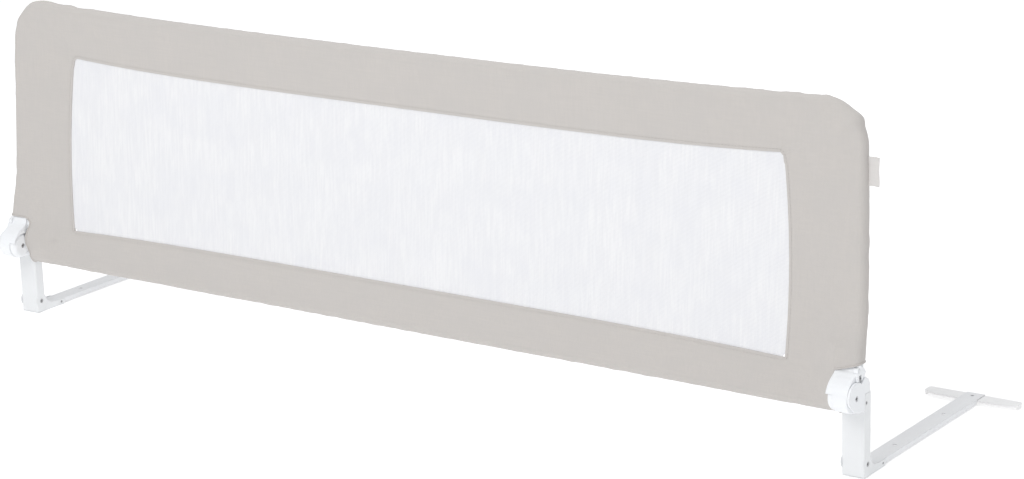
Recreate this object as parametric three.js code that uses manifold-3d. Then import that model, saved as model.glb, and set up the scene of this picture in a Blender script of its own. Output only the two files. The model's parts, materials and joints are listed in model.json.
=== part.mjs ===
// Folding bed guard rail: two posts with hinges and under-mattress arms carry a framed fabric panel.
// Millimetres. +X runs along the rail, +Y points under the mattress, +Z is up and the ground is Z = 0.
// Pieces are drawn with the posts' front faces at Y = 0, and the whole is then centred front to back.
import * as THREE from 'three';
import { mergeVertices } from 'three/addons/utils/BufferGeometryUtils.js';
import Module from 'manifold-3d';

const wasm = await Module();
wasm.setup();

// Clearances
const gap = 0.3; // between pieces that touch or slide
const overrun = 4; // how far a cutting shape runs past the faces it cuts

// Posts: flat steel tubes, slotted at the back of the foot for the arm to fold up
const railWidth = 1350; // over the posts' outer faces
const postWidth = 31;
const postDepth = 16;
const postWall = 1.2;
const postCorner = 2.5;
const postHeight = 103;
const slotHeight = 42; // the back's opening, from the post's lower end
const earRadius = 10; // round ends of the side walls, about the foot rivet
const earRise = 14.9; // the foot rivet above the post's lower end
const earSetback = 8; // the foot rivet behind the post's front face

// Foot brackets: bent sheet channels that turn in the posts and carry the arms
const bracketSheet = 1.5;
const bracketLength = 58;
const bracketHeel = 5.5; // radius of the flanges' heads about the foot rivet
const bracketToeShare = 0.6; // of the heel's radius, where the flanges' lower edges start
const bracketShares = [
  [0.93, 0], [1, 0.25], [0.985, 0.4], [0.93, 0.5], [0.74, 0.51], [0.48, 0.6], [0.34, 0.93],
];
const footRivetRadius = 3;
const armRivetRadius = 1.6;
const armRivetInset = 9; // from the bracket's rear end
const armRivetDrop = 3.2; // below the arm's top

// Arms: inverted channels that lie under the mattress
const armHeight = 6;
const armSheet = 1;
const armStart = 18; // behind the post's front face
const armEnd = 325;
const armHoleRadius = 2.5;
const armHolePlaces = [105, 234];

// Cross feet: flat bars under the arms' rear ends, with their tips turned down to the ground
const crossLength = 128;
const crossDepth = 23;
const crossThickness = 2.2;
const crossCorner = 4;
const crossStraightShare = 0.6; // of the half length, before the front edge bends back
const crossTipShare = 0.39; // of the depth, where the tip's straight end starts
const tipThickness = 2.2;
const screwRadius = 1.9;
const screwHeadRadius = 3.4;
const screwHeadHeight = 1.6;

// Hinges: a fixed housing on each post, and a knuckle that turns in it and carries the panel
const hingeRise = 0.5; // the pivot above the post's upper end
const hingeReach = 20.1; // the pivot in front of the post's front face
const drumRadius = 18.3;
const lugRadius = 17.2;
const lugWidth = 8.5; // fixed round end on the panel's side
const lugRound = 5.5;
const cheekWidth = 3; // fixed plate on the outer side
const cheekRim = 0.7; // the plate's edge beyond the drum
const cheekDrop = 20; // below the pivot
const cheekShares = [
  [-0.84, 0.68], [-0.965, 0.245], [-0.965, 0], [-0.85, -0.22], [-0.24, -0.79], [0.1, -0.94], [0.4, -1],
];
const saddleThickness = 1.2;
const webShare = 0.3; // of the drum's radius, the web between the lug and the saddle
const plugLength = 42;
const earHeight = 21.2; // the housing's rear ear above the pivot
const earDepth = 12.8; // behind the post's front face
const earAngle = 52; // degrees above +Y where the ear's rest face starts
const earStartShare = 0.55; // of the way from the pivot to the ear's back, where its top starts
const earShares = [[0.2, 1], [0.72, 0.78], [0.93, 0.52], [1, 0.06]];
const pinRadius = 3;
const pinRecess = 0.6;
const housingRivetRadius = 1.9;
const housingRivetDrop = 11.9; // below the pivot
const housingRivetSetback = 3.9; // behind the post's front face
const neckHeight = 37.7; // above the pivot
const neckDepth = 22.7; // from the pivot to the neck's rear
const neckShares = [ // of the neck's depth and height, from the front round to the rear
  [-0.762, 0.167], [-0.705, 0.265], [-0.6, 0.369], [-0.458, 0.4615], [-0.32, 0.53], [-0.14, 0.605],
  [0.05, 0.66], [0.31, 0.78], [0.4, 0.89], [0.445, 1],
  [0.6, 0.947], [0.78, 0.862], [0.94, 0.777], [1, 0.703], [0.837, 0.594], [0.573, 0.512],
];
const flangeFrontShare = 0.12; // of the neck's depth, where the outer flange starts
const innerArmWidth = 5.2; // the knuckle's arm inside the cover
const innerArmShares = [
  [0.56, 0.97], [0.46, 0.77], [0.46, 0.5], [0.5, 0.18], [0.52, -0.14], [0.72, -0.42], [0.76, -0.56],
  [0.88, -0.66], [1.12, -0.66], [1.26, -0.54], [1.28, -0.4], [1.26, 0.1], [1.02, 0.62], [0.88, 0.84],
  [0.7, 0.92],
];

// Latch: a slide and its spring in the neck's outer flange
const latchWidth = 5.8;
const latchReach = 9.1; // the latch's middle behind the pivot
const latchRise = 18.6; // the slide's lower end above the pivot
const latchHeight = 7.7;
const latchThickness = 4.3;
const latchTravel = 4.5;
const latchCover = 1.5; // the neck's wall outside the slide
const thumbHeight = 2.5;
const thumbWidth = 4.8;
const springRoom = 2.3; // left above the slide at the end of its travel
const springRadius = 1.5;
const springWire = 0.6;
const springTurns = 4;

// Panel frame: steel tubes in a plane that leans back
const leanShare = 0.05887; // set back for each unit of height
const panelSetback = 2.9; // at the panel's lower tube, behind the posts' front faces
const tubeRadius = 7.5;
const tubeWall = 1;
const jointPlace = 330; // where the middle tubes meet the side tubes
const jointLength = 50;
const middleShares = [0, 0.5, 0.84, 1]; // of the half length, where the middle tubes have rings
const sideRunShares = [0.8, 0.55, 0.3, 0]; // of the side tubes' run from the bend to the joint
const spigotLength = 22;
const footSlopeShare = 0.1327; // the side tubes' feet step forward by this share of the height
const footBlend = 24;
const footRise = 68.5; // the top of the step above the cover's hem

// Cover: a sewn sleeve round the frame, with a window
const coverWall = 0.9;
const coverEase = 0.2; // slack over the tubes
const coverDrop = 28; // the lower edge below the hinges' pivots
const coverHeight = 363.1; // in the middle
const coverTopRise = 8; // higher again at the corners
const coverTopInset = 7.4; // the upper corners inside the posts' outer faces
const coverHemInset = 0.5; // the hem inside the posts' outer faces
const hemRise = 0.5; // the hem above the knuckles' necks
const hemSlopeShare = 0.1;
const cornerRadius = 58;
const seamThickness = 2.6;
const bulgeDepth = 13.8; // how far the knuckles' arms push the cover forward
const bulgeWidth = 45;
const bulgeHeight = 34;
const bulgeRise = 6.7; // the bulge's middle above the pivots
const coverInset = 1.2; // the cover's cut edge inside the hinges' inner faces
const neckNotch = 4.5; // the cut's extra width beside the necks
const neckNotchStart = 12.7; // above the pivots
const neckNotchEnd = 20.7;
const topShares = [0, 0.35, 0.65, 0.85, 1]; // of the window's half width, where the cover has sections
const sideShares = [1 / 3, 2 / 3]; // of the side between the corner and the foot
const hemShares = [0.75, 0.4, 0]; // between the hem and the lower edge
const turnShares = [1, 0.55, 0.2]; // of the lower edge outside the window
const lowerShares = [0.95, 0.6, 0]; // of the lower edge under the window
const taperShares = [0.3, 1]; // from the tube to the seam

// Window: knitted net
const topBand = 74.1; // the cloth above the window, in the middle
const bottomBand = 59.1; // the cloth below it
const upperSideBand = 109.6; // the cloth beside its upper corners
const lowerSideBand = 108; // the cloth beside its lower corners
const sideBow = 6.25; // its sides' outward bow
const windowTopRise = 9; // its upper edge is higher again at the corners
const windowBottomDrop = 5.5; // its lower edge is lower again at the corners
const windowTurn = 5; // the corners' cut
const meshThickness = 0.8;

// Tag sewn to the right edge
const tagWidth = 14;
const tagHeight = 34;
const tagDrop = 7.4; // the tag's top below the start of the cover's corner
const tagThickness = 1.2;

// Facets
const fineSides = 32;
const middleSides = 16;
const tubeSides = 10;
const curveSteps = 6;
const cornerSteps = 3;
const coilSteps = 8;
const wireSides = 5;

// Places worked out from the sizes
const outerX = railWidth / 2;
const innerX = outerX - postWidth;
const centreX = outerX - postWidth / 2;
const postBottom = bracketSheet + gap;
const postTop = postBottom + postHeight;
const footPivot = { y: earSetback, z: postBottom + earRise };
const pivot = { y: -hingeReach, z: postTop + hingeRise };
const housingRivetZ = pivot.z - housingRivetDrop;
const armRivetSetback = bracketLength - armRivetInset;
const armBottom = bracketSheet + gap;
const armTop = armBottom + armHeight;
const bracketHalf = postWidth / 2 - postWall - gap;
const armHalf = bracketHalf - bracketSheet - gap;
const coverRadius = tubeRadius + gap + coverEase + coverWall;
const coverBottom = pivot.z - coverDrop;
const coverTop = coverBottom + coverHeight;
const coverHalfTop = outerX - coverTopInset;
const coverHalfBottom = outerX - coverHemInset;
const hemHeight = pivot.z + neckHeight + hemRise;
const bulgeCentre = pivot.z + bulgeRise;
const cornerX = coverHalfTop - cornerRadius;
const cornerZ = coverTop + coverTopRise - cornerRadius;
const windowTop = coverTop - topBand;
const windowBottom = coverBottom + bottomBand;
const windowHalfTop = coverHalfTop - upperSideBand;
const windowHalfBottom = coverHalfBottom - lowerSideBand;
const tagBottom = cornerZ - tagDrop - tagHeight;
const lowerTubeZ = coverBottom + coverRadius;
const lean = Math.atan(leanShare);
const footTop = hemHeight + footRise;
const blendEnd = footTop - footBlend;
const footHeights = [footTop, (footTop + blendEnd) / 2, blendEnd, (blendEnd + hemHeight) / 2, hemHeight];
const cheekReach = Math.max(...cheekShares.map(([along]) => -along)) * (drumRadius + cheekRim);
const frontReach = pivot.y - Math.max(drumRadius, cheekReach);

const xAxis = new THREE.Vector3(1, 0, 0);
const yAxis = new THREE.Vector3(0, 1, 0);
const zAxis = new THREE.Vector3(0, 0, 1);

// Solids from closed meshes
function solid(geometry) {
  const bare = geometry.clone();
  bare.deleteAttribute('normal');
  bare.deleteAttribute('uv');
  const merged = mergeVertices(bare);
  const vertProperties = new Float32Array(merged.attributes.position.array);
  const triVerts = new Uint32Array(merged.index.array);
  return new wasm.Manifold(new wasm.Mesh({ numProp: 3, vertProperties, triVerts }));
}

function geometryOf(body) {
  const mesh = body.getMesh();
  const geometry = new THREE.BufferGeometry();
  geometry.setAttribute('position', new THREE.BufferAttribute(new Float32Array(mesh.vertProperties), 3));
  geometry.setIndex(new THREE.BufferAttribute(new Uint32Array(mesh.triVerts), 1));
  geometry.computeVertexNormals();
  return geometry;
}

function joined(...geometries) {
  return geometries.map(solid).reduce((sum, body) => sum.add(body));
}

function cut(body, ...tools) {
  return tools.map(solid).reduce((rest, tool) => rest.subtract(tool), body);
}

// Shapes
function block(fromX, toX, fromY, toY, fromZ, toZ) {
  const box = new THREE.BoxGeometry(toX - fromX, toY - fromY, toZ - fromZ);
  return box.translate((fromX + toX) / 2, (fromY + toY) / 2, (fromZ + toZ) / 2);
}

function rodAlongX(radius, fromX, toX, y, z, sides) {
  const rod = new THREE.CylinderGeometry(radius, radius, toX - fromX, sides);
  return rod.rotateZ(Math.PI / 2).translate((fromX + toX) / 2, y, z);
}

function rodAlongZ(radius, x, y, fromZ, toZ, sides) {
  const rod = new THREE.CylinderGeometry(radius, radius, toZ - fromZ, sides);
  return rod.rotateX(Math.PI / 2).translate(x, y, (fromZ + toZ) / 2);
}

// An outline pushed out of its own plane, upward for one drawn in X and Y
function pushedUp(shape, depth, steps) {
  return new THREE.ExtrudeGeometry(shape, { depth, bevelEnabled: false, curveSegments: steps });
}

// A plate whose outline is drawn in Y and Z, pushed along X
function plateAlongX(shape, fromX, toX) {
  const plate = pushedUp(shape, toX - fromX, curveSteps);
  plate.applyMatrix4(new THREE.Matrix4().makeBasis(yAxis, zAxis, xAxis));
  return plate.translate(fromX, 0, 0);
}

function shapeOf(points) {
  return new THREE.Shape(points.map(([y, z]) => new THREE.Vector2(y, z)));
}

function roundedRectangle(halfX, fromY, toY, corner) {
  const shape = new THREE.Shape();
  const arc = (x, y, start) => shape.absarc(x, y, corner, start, start + Math.PI / 2, false);
  arc(halfX - corner, fromY + corner, -Math.PI / 2);
  arc(halfX - corner, toY - corner, 0);
  arc(-halfX + corner, toY - corner, Math.PI / 2);
  arc(-halfX + corner, fromY + corner, Math.PI);
  return shape;
}

// A closed body through rings of equal counts, with flat ends or closed on itself
function loft(rings, closed) {
  const count = rings[0].length;
  const positions = rings.flat().flatMap((point) => [point.x, point.y, point.z]);
  const index = [];
  const last = closed ? rings.length : rings.length - 1;
  for (let ring = 0; ring < last; ring += 1) {
    const next = (ring + 1) % rings.length;
    for (let side = 0; side < count; side += 1) {
      const beside = (side + 1) % count;
      const [here, ahead] = [ring * count, next * count];
      const corner = [here + side, here + beside, ahead + beside, ahead + side];
      index.push(corner[0], corner[1], corner[2], corner[0], corner[2], corner[3]);
    }
  }
  if (!closed) {
    const end = (rings.length - 1) * count;
    for (let side = 1; side < count - 1; side += 1) {
      index.push(0, side + 1, side, end, end + side, end + side + 1);
    }
  }
  const geometry = new THREE.BufferGeometry();
  geometry.setAttribute('position', new THREE.Float32BufferAttribute(positions, 3));
  geometry.setIndex(index);
  return geometry;
}

// A round rod along a path, its rings square to the path
function rodAlongPath(points, radius, sides) {
  const normal = new THREE.Vector3(0, Math.cos(lean), -Math.sin(lean));
  const rings = points.map((point, place) => {
    const before = points[Math.max(place - 1, 0)];
    const after = points[Math.min(place + 1, points.length - 1)];
    const along = after.clone().sub(before).normalize();
    const side = new THREE.Vector3().crossVectors(along, normal).normalize();
    const up = new THREE.Vector3().crossVectors(side, along).normalize();
    return Array.from({ length: sides }, (_, step) => {
      const angle = (step / sides) * 2 * Math.PI;
      const across = point.clone().addScaledVector(side, radius * Math.cos(angle));
      return across.addScaledVector(up, -radius * Math.sin(angle));
    });
  });
  return loft(rings, false);
}

function mirrored(geometry) {
  const copy = geometry.clone().scale(-1, 1, 1);
  const index = copy.index.array;
  for (let corner = 0; corner < index.length; corner += 3) {
    [index[corner], index[corner + 1]] = [index[corner + 1], index[corner]];
  }
  copy.computeVertexNormals();
  return copy;
}

// The panel's leaning plane: a place along the rail, a height, and an offset square to the plane
function panelPoint(x, z, offset) {
  const y = panelSetback + (z - lowerTubeZ) * leanShare;
  return new THREE.Vector3(x, y + offset * Math.cos(lean), z - offset * Math.sin(lean));
}

// How far the side tubes' feet, and the cover over them, stand in front of that plane
function footOffset(z) {
  const below = footTop - z;
  if (below <= 0) return 0;
  if (below < footBlend) return (-footSlopeShare * below * below) / (2 * footBlend);
  return -footSlopeShare * (below - footBlend / 2);
}

// Outlines of the cover and its window
function coverTopAt(x) {
  return coverTop + coverTopRise * (Math.abs(x) / cornerX) ** 3;
}

function coverSideAt(z) {
  return coverHalfTop + (coverHalfBottom - coverHalfTop) * ((cornerZ - z) / (cornerZ - hemHeight));
}

function windowTopAt(share) {
  return windowTop + windowTopRise * share ** 4;
}

function windowBottomAt(share) {
  return windowBottom - windowBottomDrop * share ** 4;
}

function windowSideAt(share) {
  return windowHalfBottom + (windowHalfTop - windowHalfBottom) * share + sideBow * 4 * share * (1 - share);
}

// Post
function post() {
  const half = postWidth / 2;
  const outline = roundedRectangle(half, 0, postDepth, postCorner);
  const tube = pushedUp(outline, postHeight, cornerSteps);
  const ears = [innerX, outerX - postWall].map((x) => (
    rodAlongX(earRadius, x, x + postWall, footPivot.y, footPivot.z, fineSides)
  ));
  const inside = roundedRectangle(half - postWall, postWall, postDepth - postWall, postCorner - postWall);
  const hollow = pushedUp(inside, postHeight + 2 * overrun, cornerSteps);
  const heel = shapeOf([
    [footPivot.y + overrun, postBottom - overrun], [footPivot.y + overrun, footPivot.z - earRadius],
    [footPivot.y + earRadius, footPivot.z], [postDepth + 2 * overrun, footPivot.z],
    [postDepth + 2 * overrun, postBottom - overrun],
  ]);
  const [holeFrom, holeTo] = [innerX - overrun, outerX + overrun];
  const earRound = rodAlongX(
    earRadius, holeFrom - overrun, holeTo + overrun, footPivot.y, footPivot.z, fineSides,
  );
  const lowerCorner = solid(plateAlongX(heel, holeFrom, holeTo)).subtract(solid(earRound));
  const body = cut(
    joined(tube.translate(centreX, 0, postBottom), ...ears),
    hollow.translate(centreX, 0, postBottom - overrun),
    block(
      innerX + postWall, outerX - postWall, postDepth / 2, postDepth + 2 * overrun,
      postBottom - overrun, postBottom + slotHeight,
    ),
    rodAlongX(footRivetRadius + gap, holeFrom, holeTo, footPivot.y, footPivot.z, middleSides),
    rodAlongX(housingRivetRadius + gap, holeFrom, holeTo, housingRivetSetback, housingRivetZ, middleSides),
  );
  return body.subtract(lowerCorner);
}

// A tubular rivet or pin along X, with a dimple in each end
function rivet(radius, half, y, z) {
  const dimple = radius / 2;
  return cut(
    joined(rodAlongX(radius, centreX - half, centreX + half, y, z, middleSides)),
    rodAlongX(dimple, centreX - half - overrun, centreX - half + dimple, y, z, tubeSides),
    rodAlongX(dimple, centreX + half - dimple, centreX + half + overrun, y, z, tubeSides),
  );
}

// Foot bracket: a bottom web that stops under the post's front wall, and two flanges
function footBracket() {
  const flange = new THREE.Shape();
  flange.moveTo(footPivot.y - bracketHeel * bracketToeShare, 0);
  bracketShares.forEach(([along, up]) => flange.lineTo(bracketLength * along, footPivot.z * up));
  flange.absarc(footPivot.y, footPivot.z, bracketHeel, Math.PI / 6, Math.PI, false);
  const sides = [-1, 1].map((side) => {
    const from = centreX + (side < 0 ? -bracketHalf : bracketHalf - bracketSheet);
    return plateAlongX(flange, from, from + bracketSheet);
  });
  const webEnd = bracketLength * bracketShares[0][0];
  const web = block(centreX - bracketHalf, centreX + bracketHalf, gap, webEnd, 0, bracketSheet);
  return cut(
    joined(...sides, web),
    rodAlongX(footRivetRadius + gap, innerX, outerX, footPivot.y, footPivot.z, middleSides),
    rodAlongX(armRivetRadius + gap, innerX, outerX, armRivetSetback, armTop - armRivetDrop, middleSides),
  );
}

// Base arm: an inverted channel whose side walls stop short of the cross foot
function baseArm() {
  const wallEnd = armEnd - crossDepth - gap;
  const top = block(centreX - armHalf, centreX + armHalf, armStart, armEnd, armTop - armSheet, armTop);
  const sides = [-armHalf, armHalf - armSheet].map((x) => (
    block(centreX + x, centreX + x + armSheet, armStart, wallEnd, armBottom, armTop - armSheet / 2)
  ));
  const holeAt = (radius, y) => rodAlongZ(radius, centreX, y, armBottom, armTop + overrun, middleSides);
  return cut(
    joined(top, ...sides),
    ...armHolePlaces.map((y) => holeAt(armHoleRadius, y)),
    rodAlongX(armRivetRadius + gap, innerX, outerX, armRivetSetback, armTop - armRivetDrop, middleSides),
    holeAt(screwRadius + gap, armEnd - crossDepth / 2),
  );
}

// Cross foot: its front edge bends back towards the tips, which are turned down to the ground
function crossFoot() {
  const half = crossLength / 2;
  const front = armEnd - crossDepth;
  const tipStart = front + crossDepth * crossTipShare;
  const crossTop = armTop - armSheet - gap;
  const outline = new THREE.Shape();
  outline.moveTo(-half * crossStraightShare, front);
  outline.lineTo(half * crossStraightShare, front);
  outline.quadraticCurveTo(half - crossCorner, front, half, tipStart);
  outline.lineTo(half, armEnd - crossCorner);
  outline.absarc(half - crossCorner, armEnd - crossCorner, crossCorner, 0, Math.PI / 2, false);
  outline.absarc(-half + crossCorner, armEnd - crossCorner, crossCorner, Math.PI / 2, Math.PI, false);
  outline.lineTo(-half, tipStart);
  outline.quadraticCurveTo(-half + crossCorner, front, -half * crossStraightShare, front);
  const plate = pushedUp(outline, crossThickness, curveSteps);
  const tipTop = crossTop - crossThickness / 2;
  const tips = [centreX - half, centreX + half - tipThickness].map((x) => (
    block(x, x + tipThickness, tipStart, armEnd - crossCorner, 0, tipTop)
  ));
  return cut(
    joined(plate.translate(centreX, 0, crossTop - crossThickness), ...tips),
    rodAlongZ(screwRadius + gap, centreX, armEnd - crossDepth / 2, 0, armTop, middleSides),
  );
}

function crossFootScrew() {
  const y = armEnd - crossDepth / 2;
  const headTop = armTop - armSheet - crossThickness - 2 * gap;
  return joined(
    rodAlongZ(screwHeadRadius, centreX, y, headTop - screwHeadHeight, headTop, middleSides),
    rodAlongZ(screwRadius, centreX, y, headTop - screwHeadHeight / 2, armTop - gap, middleSides),
  );
}

// Hinge housing: plug, saddle, rear ear, inner lug and outer cheek plate in one moulding
function hingeBase() {
  const rim = drumRadius + cheekRim;
  const start = (earAngle * Math.PI) / 180;
  const capBottom = postTop + gap;
  const plugInset = postWall + gap;
  const plugHalf = postWidth / 2 - plugInset;
  const plugOutline = roundedRectangle(plugHalf, plugInset, postDepth - plugInset, postCorner - postWall);
  const plugDepth = plugLength + 2 * gap;
  const plug = pushedUp(plugOutline, plugDepth, cornerSteps);
  const earShape = new THREE.Shape();
  earShape.moveTo(-gap - saddleThickness, capBottom);
  earShape.lineTo(earDepth, capBottom);
  [...earShares].reverse().forEach(([back, up]) => {
    const along = earStartShare + (1 - earStartShare) * back;
    earShape.lineTo(pivot.y + (earDepth - pivot.y) * along, pivot.z + earHeight * up);
  });
  earShape.lineTo(pivot.y + (rim + gap) * Math.cos(start), pivot.z + (rim + gap) * Math.sin(start));
  earShape.absarc(pivot.y, pivot.z, drumRadius + gap, start, 0, true);
  const lugProfile = [new THREE.Vector2(0, 0)];
  for (let step = 0; step <= curveSteps; step += 1) {
    const angle = (step / curveSteps) * (Math.PI / 2);
    const ring = lugRadius - lugRound + lugRound * Math.sin(angle);
    lugProfile.push(new THREE.Vector2(ring, lugRound - lugRound * Math.cos(angle)));
  }
  lugProfile.push(new THREE.Vector2(lugRadius, lugWidth), new THREE.Vector2(0, lugWidth));
  const lug = new THREE.LatheGeometry(lugProfile, fineSides).rotateZ(-Math.PI / 2);
  const cheek = new THREE.Shape();
  cheek.moveTo(-gap, capBottom);
  cheek.absarc(pivot.y, pivot.z, rim, 0, (cheekAngle() * Math.PI) / 180, false);
  cheekShares.slice(1).forEach(([along, up]) => {
    cheek.lineTo(pivot.y + rim * along, pivot.z + cheekDrop * up);
  });
  cheek.lineTo(-gap, pivot.z - cheekDrop);
  return cut(
    joined(
      plug.translate(centreX, 0, postTop - plugLength),
      plateAlongX(earShape, innerX, outerX),
      block(innerX, outerX, -gap - saddleThickness, -gap, pivot.z - cheekDrop, capBottom + gap),
      saddleEnd(),
      lug.translate(innerX, pivot.y, pivot.z),
      plateAlongX(cheek, outerX - cheekWidth, outerX),
    ),
    rodAlongX(pinRadius + gap, innerX - overrun, outerX + overrun, pivot.y, pivot.z, middleSides),
    rodAlongX(housingRivetRadius + gap, innerX, outerX, housingRivetSetback, housingRivetZ, middleSides),
  );
}

// The angle at which the cheek's round rim meets its straight front edge, in degrees
function cheekAngle() {
  return 180 - (Math.atan2(cheekShares[0][1], -cheekShares[0][0]) * 180) / Math.PI;
}

// Web between the inner lug and the saddle
function saddleEnd() {
  const reach = drumRadius * webShare;
  return block(innerX, innerX + lugWidth, pivot.y + reach, -gap, pivot.z - reach, pivot.z);
}

// Knuckle: drum between lug and cheek, full-width neck, spigots for the panel's tubes
function neckOutline(shares) {
  return shapeOf(shares.map(([back, up]) => [pivot.y + neckDepth * back, pivot.z + neckHeight * up]));
}

function latchPlace() {
  const middle = pivot.y + latchReach;
  const outside = outerX - gap - latchCover - gap;
  const bottom = pivot.z + latchRise;
  return { middle, outside, bottom, roof: bottom + latchHeight + latchTravel + springRoom };
}

function knuckle() {
  const rim = drumRadius + cheekRim;
  const drumFrom = innerX + lugWidth + gap;
  const drumTo = outerX - cheekWidth - gap;
  const sideOut = outerX - gap;
  const armFrom = innerX - gap - innerArmWidth;
  const neck = solid(plateAlongX(neckOutline([...neckShares, [0, 0]]), innerX - 2 * gap, sideOut));
  const latch = latchPlace();
  const flangeFront = pivot.y + neckDepth * flangeFrontShare;
  const flangeRoom = block(
    drumTo, outerX + overrun, pivot.y - 2 * rim, flangeFront, pivot.z - rim, pivot.z + 2 * rim,
  );
  const shaped = neck
    .subtract(solid(rodAlongX(lugRadius + gap, armFrom, drumFrom, pivot.y, pivot.z, fineSides)))
    .subtract(solid(rodAlongX(rim + gap, drumTo, outerX + overrun, pivot.y, pivot.z, fineSides)))
    .subtract(solid(flangeRoom));
  const footRoot = tubeFoot(hemHeight - tubeRadius);
  const footSeat = tubeFoot(hemHeight + gap);
  const footEnd = tubeFoot(hemHeight + spigotLength);
  const lowerCentre = panelPoint(0, lowerTubeZ, 0);
  const spigot = tubeRadius - tubeWall - gap;
  const lowerSpigot = rodAlongX(
    spigot, armFrom - spigotLength, armFrom + gap, lowerCentre.y, lowerCentre.z, tubeSides,
  );
  const body = shaped
    .subtract(solid(rodAlongPath([footSeat, footEnd], tubeRadius + gap, tubeSides)))
    .add(solid(rodAlongX(drumRadius, drumFrom, drumTo, pivot.y, pivot.z, fineSides)))
    .add(solid(plateAlongX(neckOutline(innerArmShares), armFrom, innerX - gap)))
    .add(solid(rodAlongPath([footRoot, footSeat], tubeRadius, tubeSides)))
    .add(solid(rodAlongPath([footRoot, footEnd], spigot, tubeSides)))
    .add(solid(lowerSpigot));
  const [slideHalf, thumbHalf] = [latchWidth / 2 + gap, thumbWidth / 2 + gap];
  return cut(
    body,
    rodAlongX(pinRadius + gap, innerX, outerX, pivot.y, pivot.z, middleSides),
    block(
      latch.outside - latchThickness - gap, latch.outside + gap,
      latch.middle - slideHalf, latch.middle + slideHalf, latch.bottom - gap, latch.roof,
    ),
    block(
      latch.outside, outerX + overrun, latch.middle - thumbHalf, latch.middle + thumbHalf,
      latch.bottom - overrun, latch.bottom + thumbHeight + latchTravel + gap,
    ),
  );
}

// The centre line of the side tube's foot
function tubeFoot(z) {
  return panelPoint(coverSideAt(z) - coverRadius, z, footOffset(z));
}

function hingePin() {
  return rivet(pinRadius, postWidth / 2 - pinRecess, pivot.y, pivot.z);
}

function lockSlide() {
  const { middle, outside, bottom } = latchPlace();
  return joined(
    block(
      outside - latchThickness, outside, middle - latchWidth / 2, middle + latchWidth / 2,
      bottom, bottom + latchHeight,
    ),
    block(
      outside - gap, outerX - 2 * gap, middle - thumbWidth / 2, middle + thumbWidth / 2,
      bottom, bottom + thumbHeight,
    ),
  );
}

// A coil spring between the slide and the roof of its pocket
function lockSpring() {
  const latch = latchPlace();
  const from = latch.bottom + latchHeight + gap + springWire / 2;
  const to = latch.roof - gap - springWire / 2;
  const middleX = latch.outside - latchThickness / 2;
  const steps = springTurns * coilSteps;
  const rings = [];
  for (let step = 0; step <= steps; step += 1) {
    const turn = (step / coilSteps) * 2 * Math.PI;
    const outward = new THREE.Vector3(Math.cos(turn), Math.sin(turn), 0);
    const centre = new THREE.Vector3(middleX, latch.middle, from + ((to - from) * step) / steps);
    centre.addScaledVector(outward, springRadius);
    rings.push(Array.from({ length: wireSides }, (_, side) => {
      const angle = (side / wireSides) * 2 * Math.PI;
      const point = centre.clone().addScaledVector(outward, (springWire / 2) * Math.cos(angle));
      return point.addScaledVector(zAxis, (-springWire / 2) * Math.sin(angle));
    }));
  }
  return solid(loft(rings, false));
}

// A tube along a path, open at both ends
function tubeBody(points, radius, bore) {
  const first = points[0].clone().sub(points[1]).setLength(overrun).add(points[0]);
  const end = points[points.length - 1];
  const last = end.clone().sub(points[points.length - 2]).setLength(overrun).add(end);
  const inside = solid(rodAlongPath([first, ...points.slice(1, -1), last], bore, tubeSides));
  return solid(rodAlongPath(points, radius, tubeSides)).subtract(inside);
}

function sideTube() {
  const points = [hemHeight + 2 * gap, ...footHeights.slice(0, -1).reverse()].map(tubeFoot);
  const bend = cornerRadius - coverRadius;
  for (let step = 0; step <= curveSteps; step += 1) {
    const angle = (step / curveSteps) * (Math.PI / 2);
    points.push(panelPoint(cornerX + bend * Math.cos(angle), cornerZ + bend * Math.sin(angle), 0));
  }
  const run = cornerX - jointPlace;
  sideRunShares.forEach((share) => {
    const x = jointPlace + run * share;
    points.push(panelPoint(x, coverTopAt(x) - coverRadius, 0));
  });
  return tubeBody(points, tubeRadius, tubeRadius - tubeWall);
}

// Middle tubes have reduced ends that push into their neighbours
function middleTube(heightAt) {
  const half = jointPlace - gap;
  const along = (share, reach) => panelPoint(reach * share, heightAt(reach * share), 0);
  const shares = [...middleShares.slice(1).reverse().map((share) => -share), ...middleShares];
  const main = shares.map((share) => along(share, half));
  const thin = shares.map((share) => along(share, jointPlace + jointLength));
  const reduced = tubeRadius - tubeWall - gap;
  const bore = [thin[0].clone().addScaledVector(xAxis, -overrun), ...thin.slice(1, -1),
    thin[thin.length - 1].clone().addScaledVector(xAxis, overrun)];
  return solid(rodAlongPath(main, tubeRadius, tubeSides))
    .add(solid(rodAlongPath(thin, reduced, tubeSides)))
    .subtract(solid(rodAlongPath(bore, reduced - tubeWall, tubeSides)));
}

function bottomTube() {
  const from = innerX - gap - innerArmWidth - gap;
  const ends = [from, (from + jointPlace) / 2, jointPlace].map((x) => panelPoint(x, lowerTubeZ, 0));
  return tubeBody(ends, tubeRadius, tubeRadius - tubeWall);
}

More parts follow.
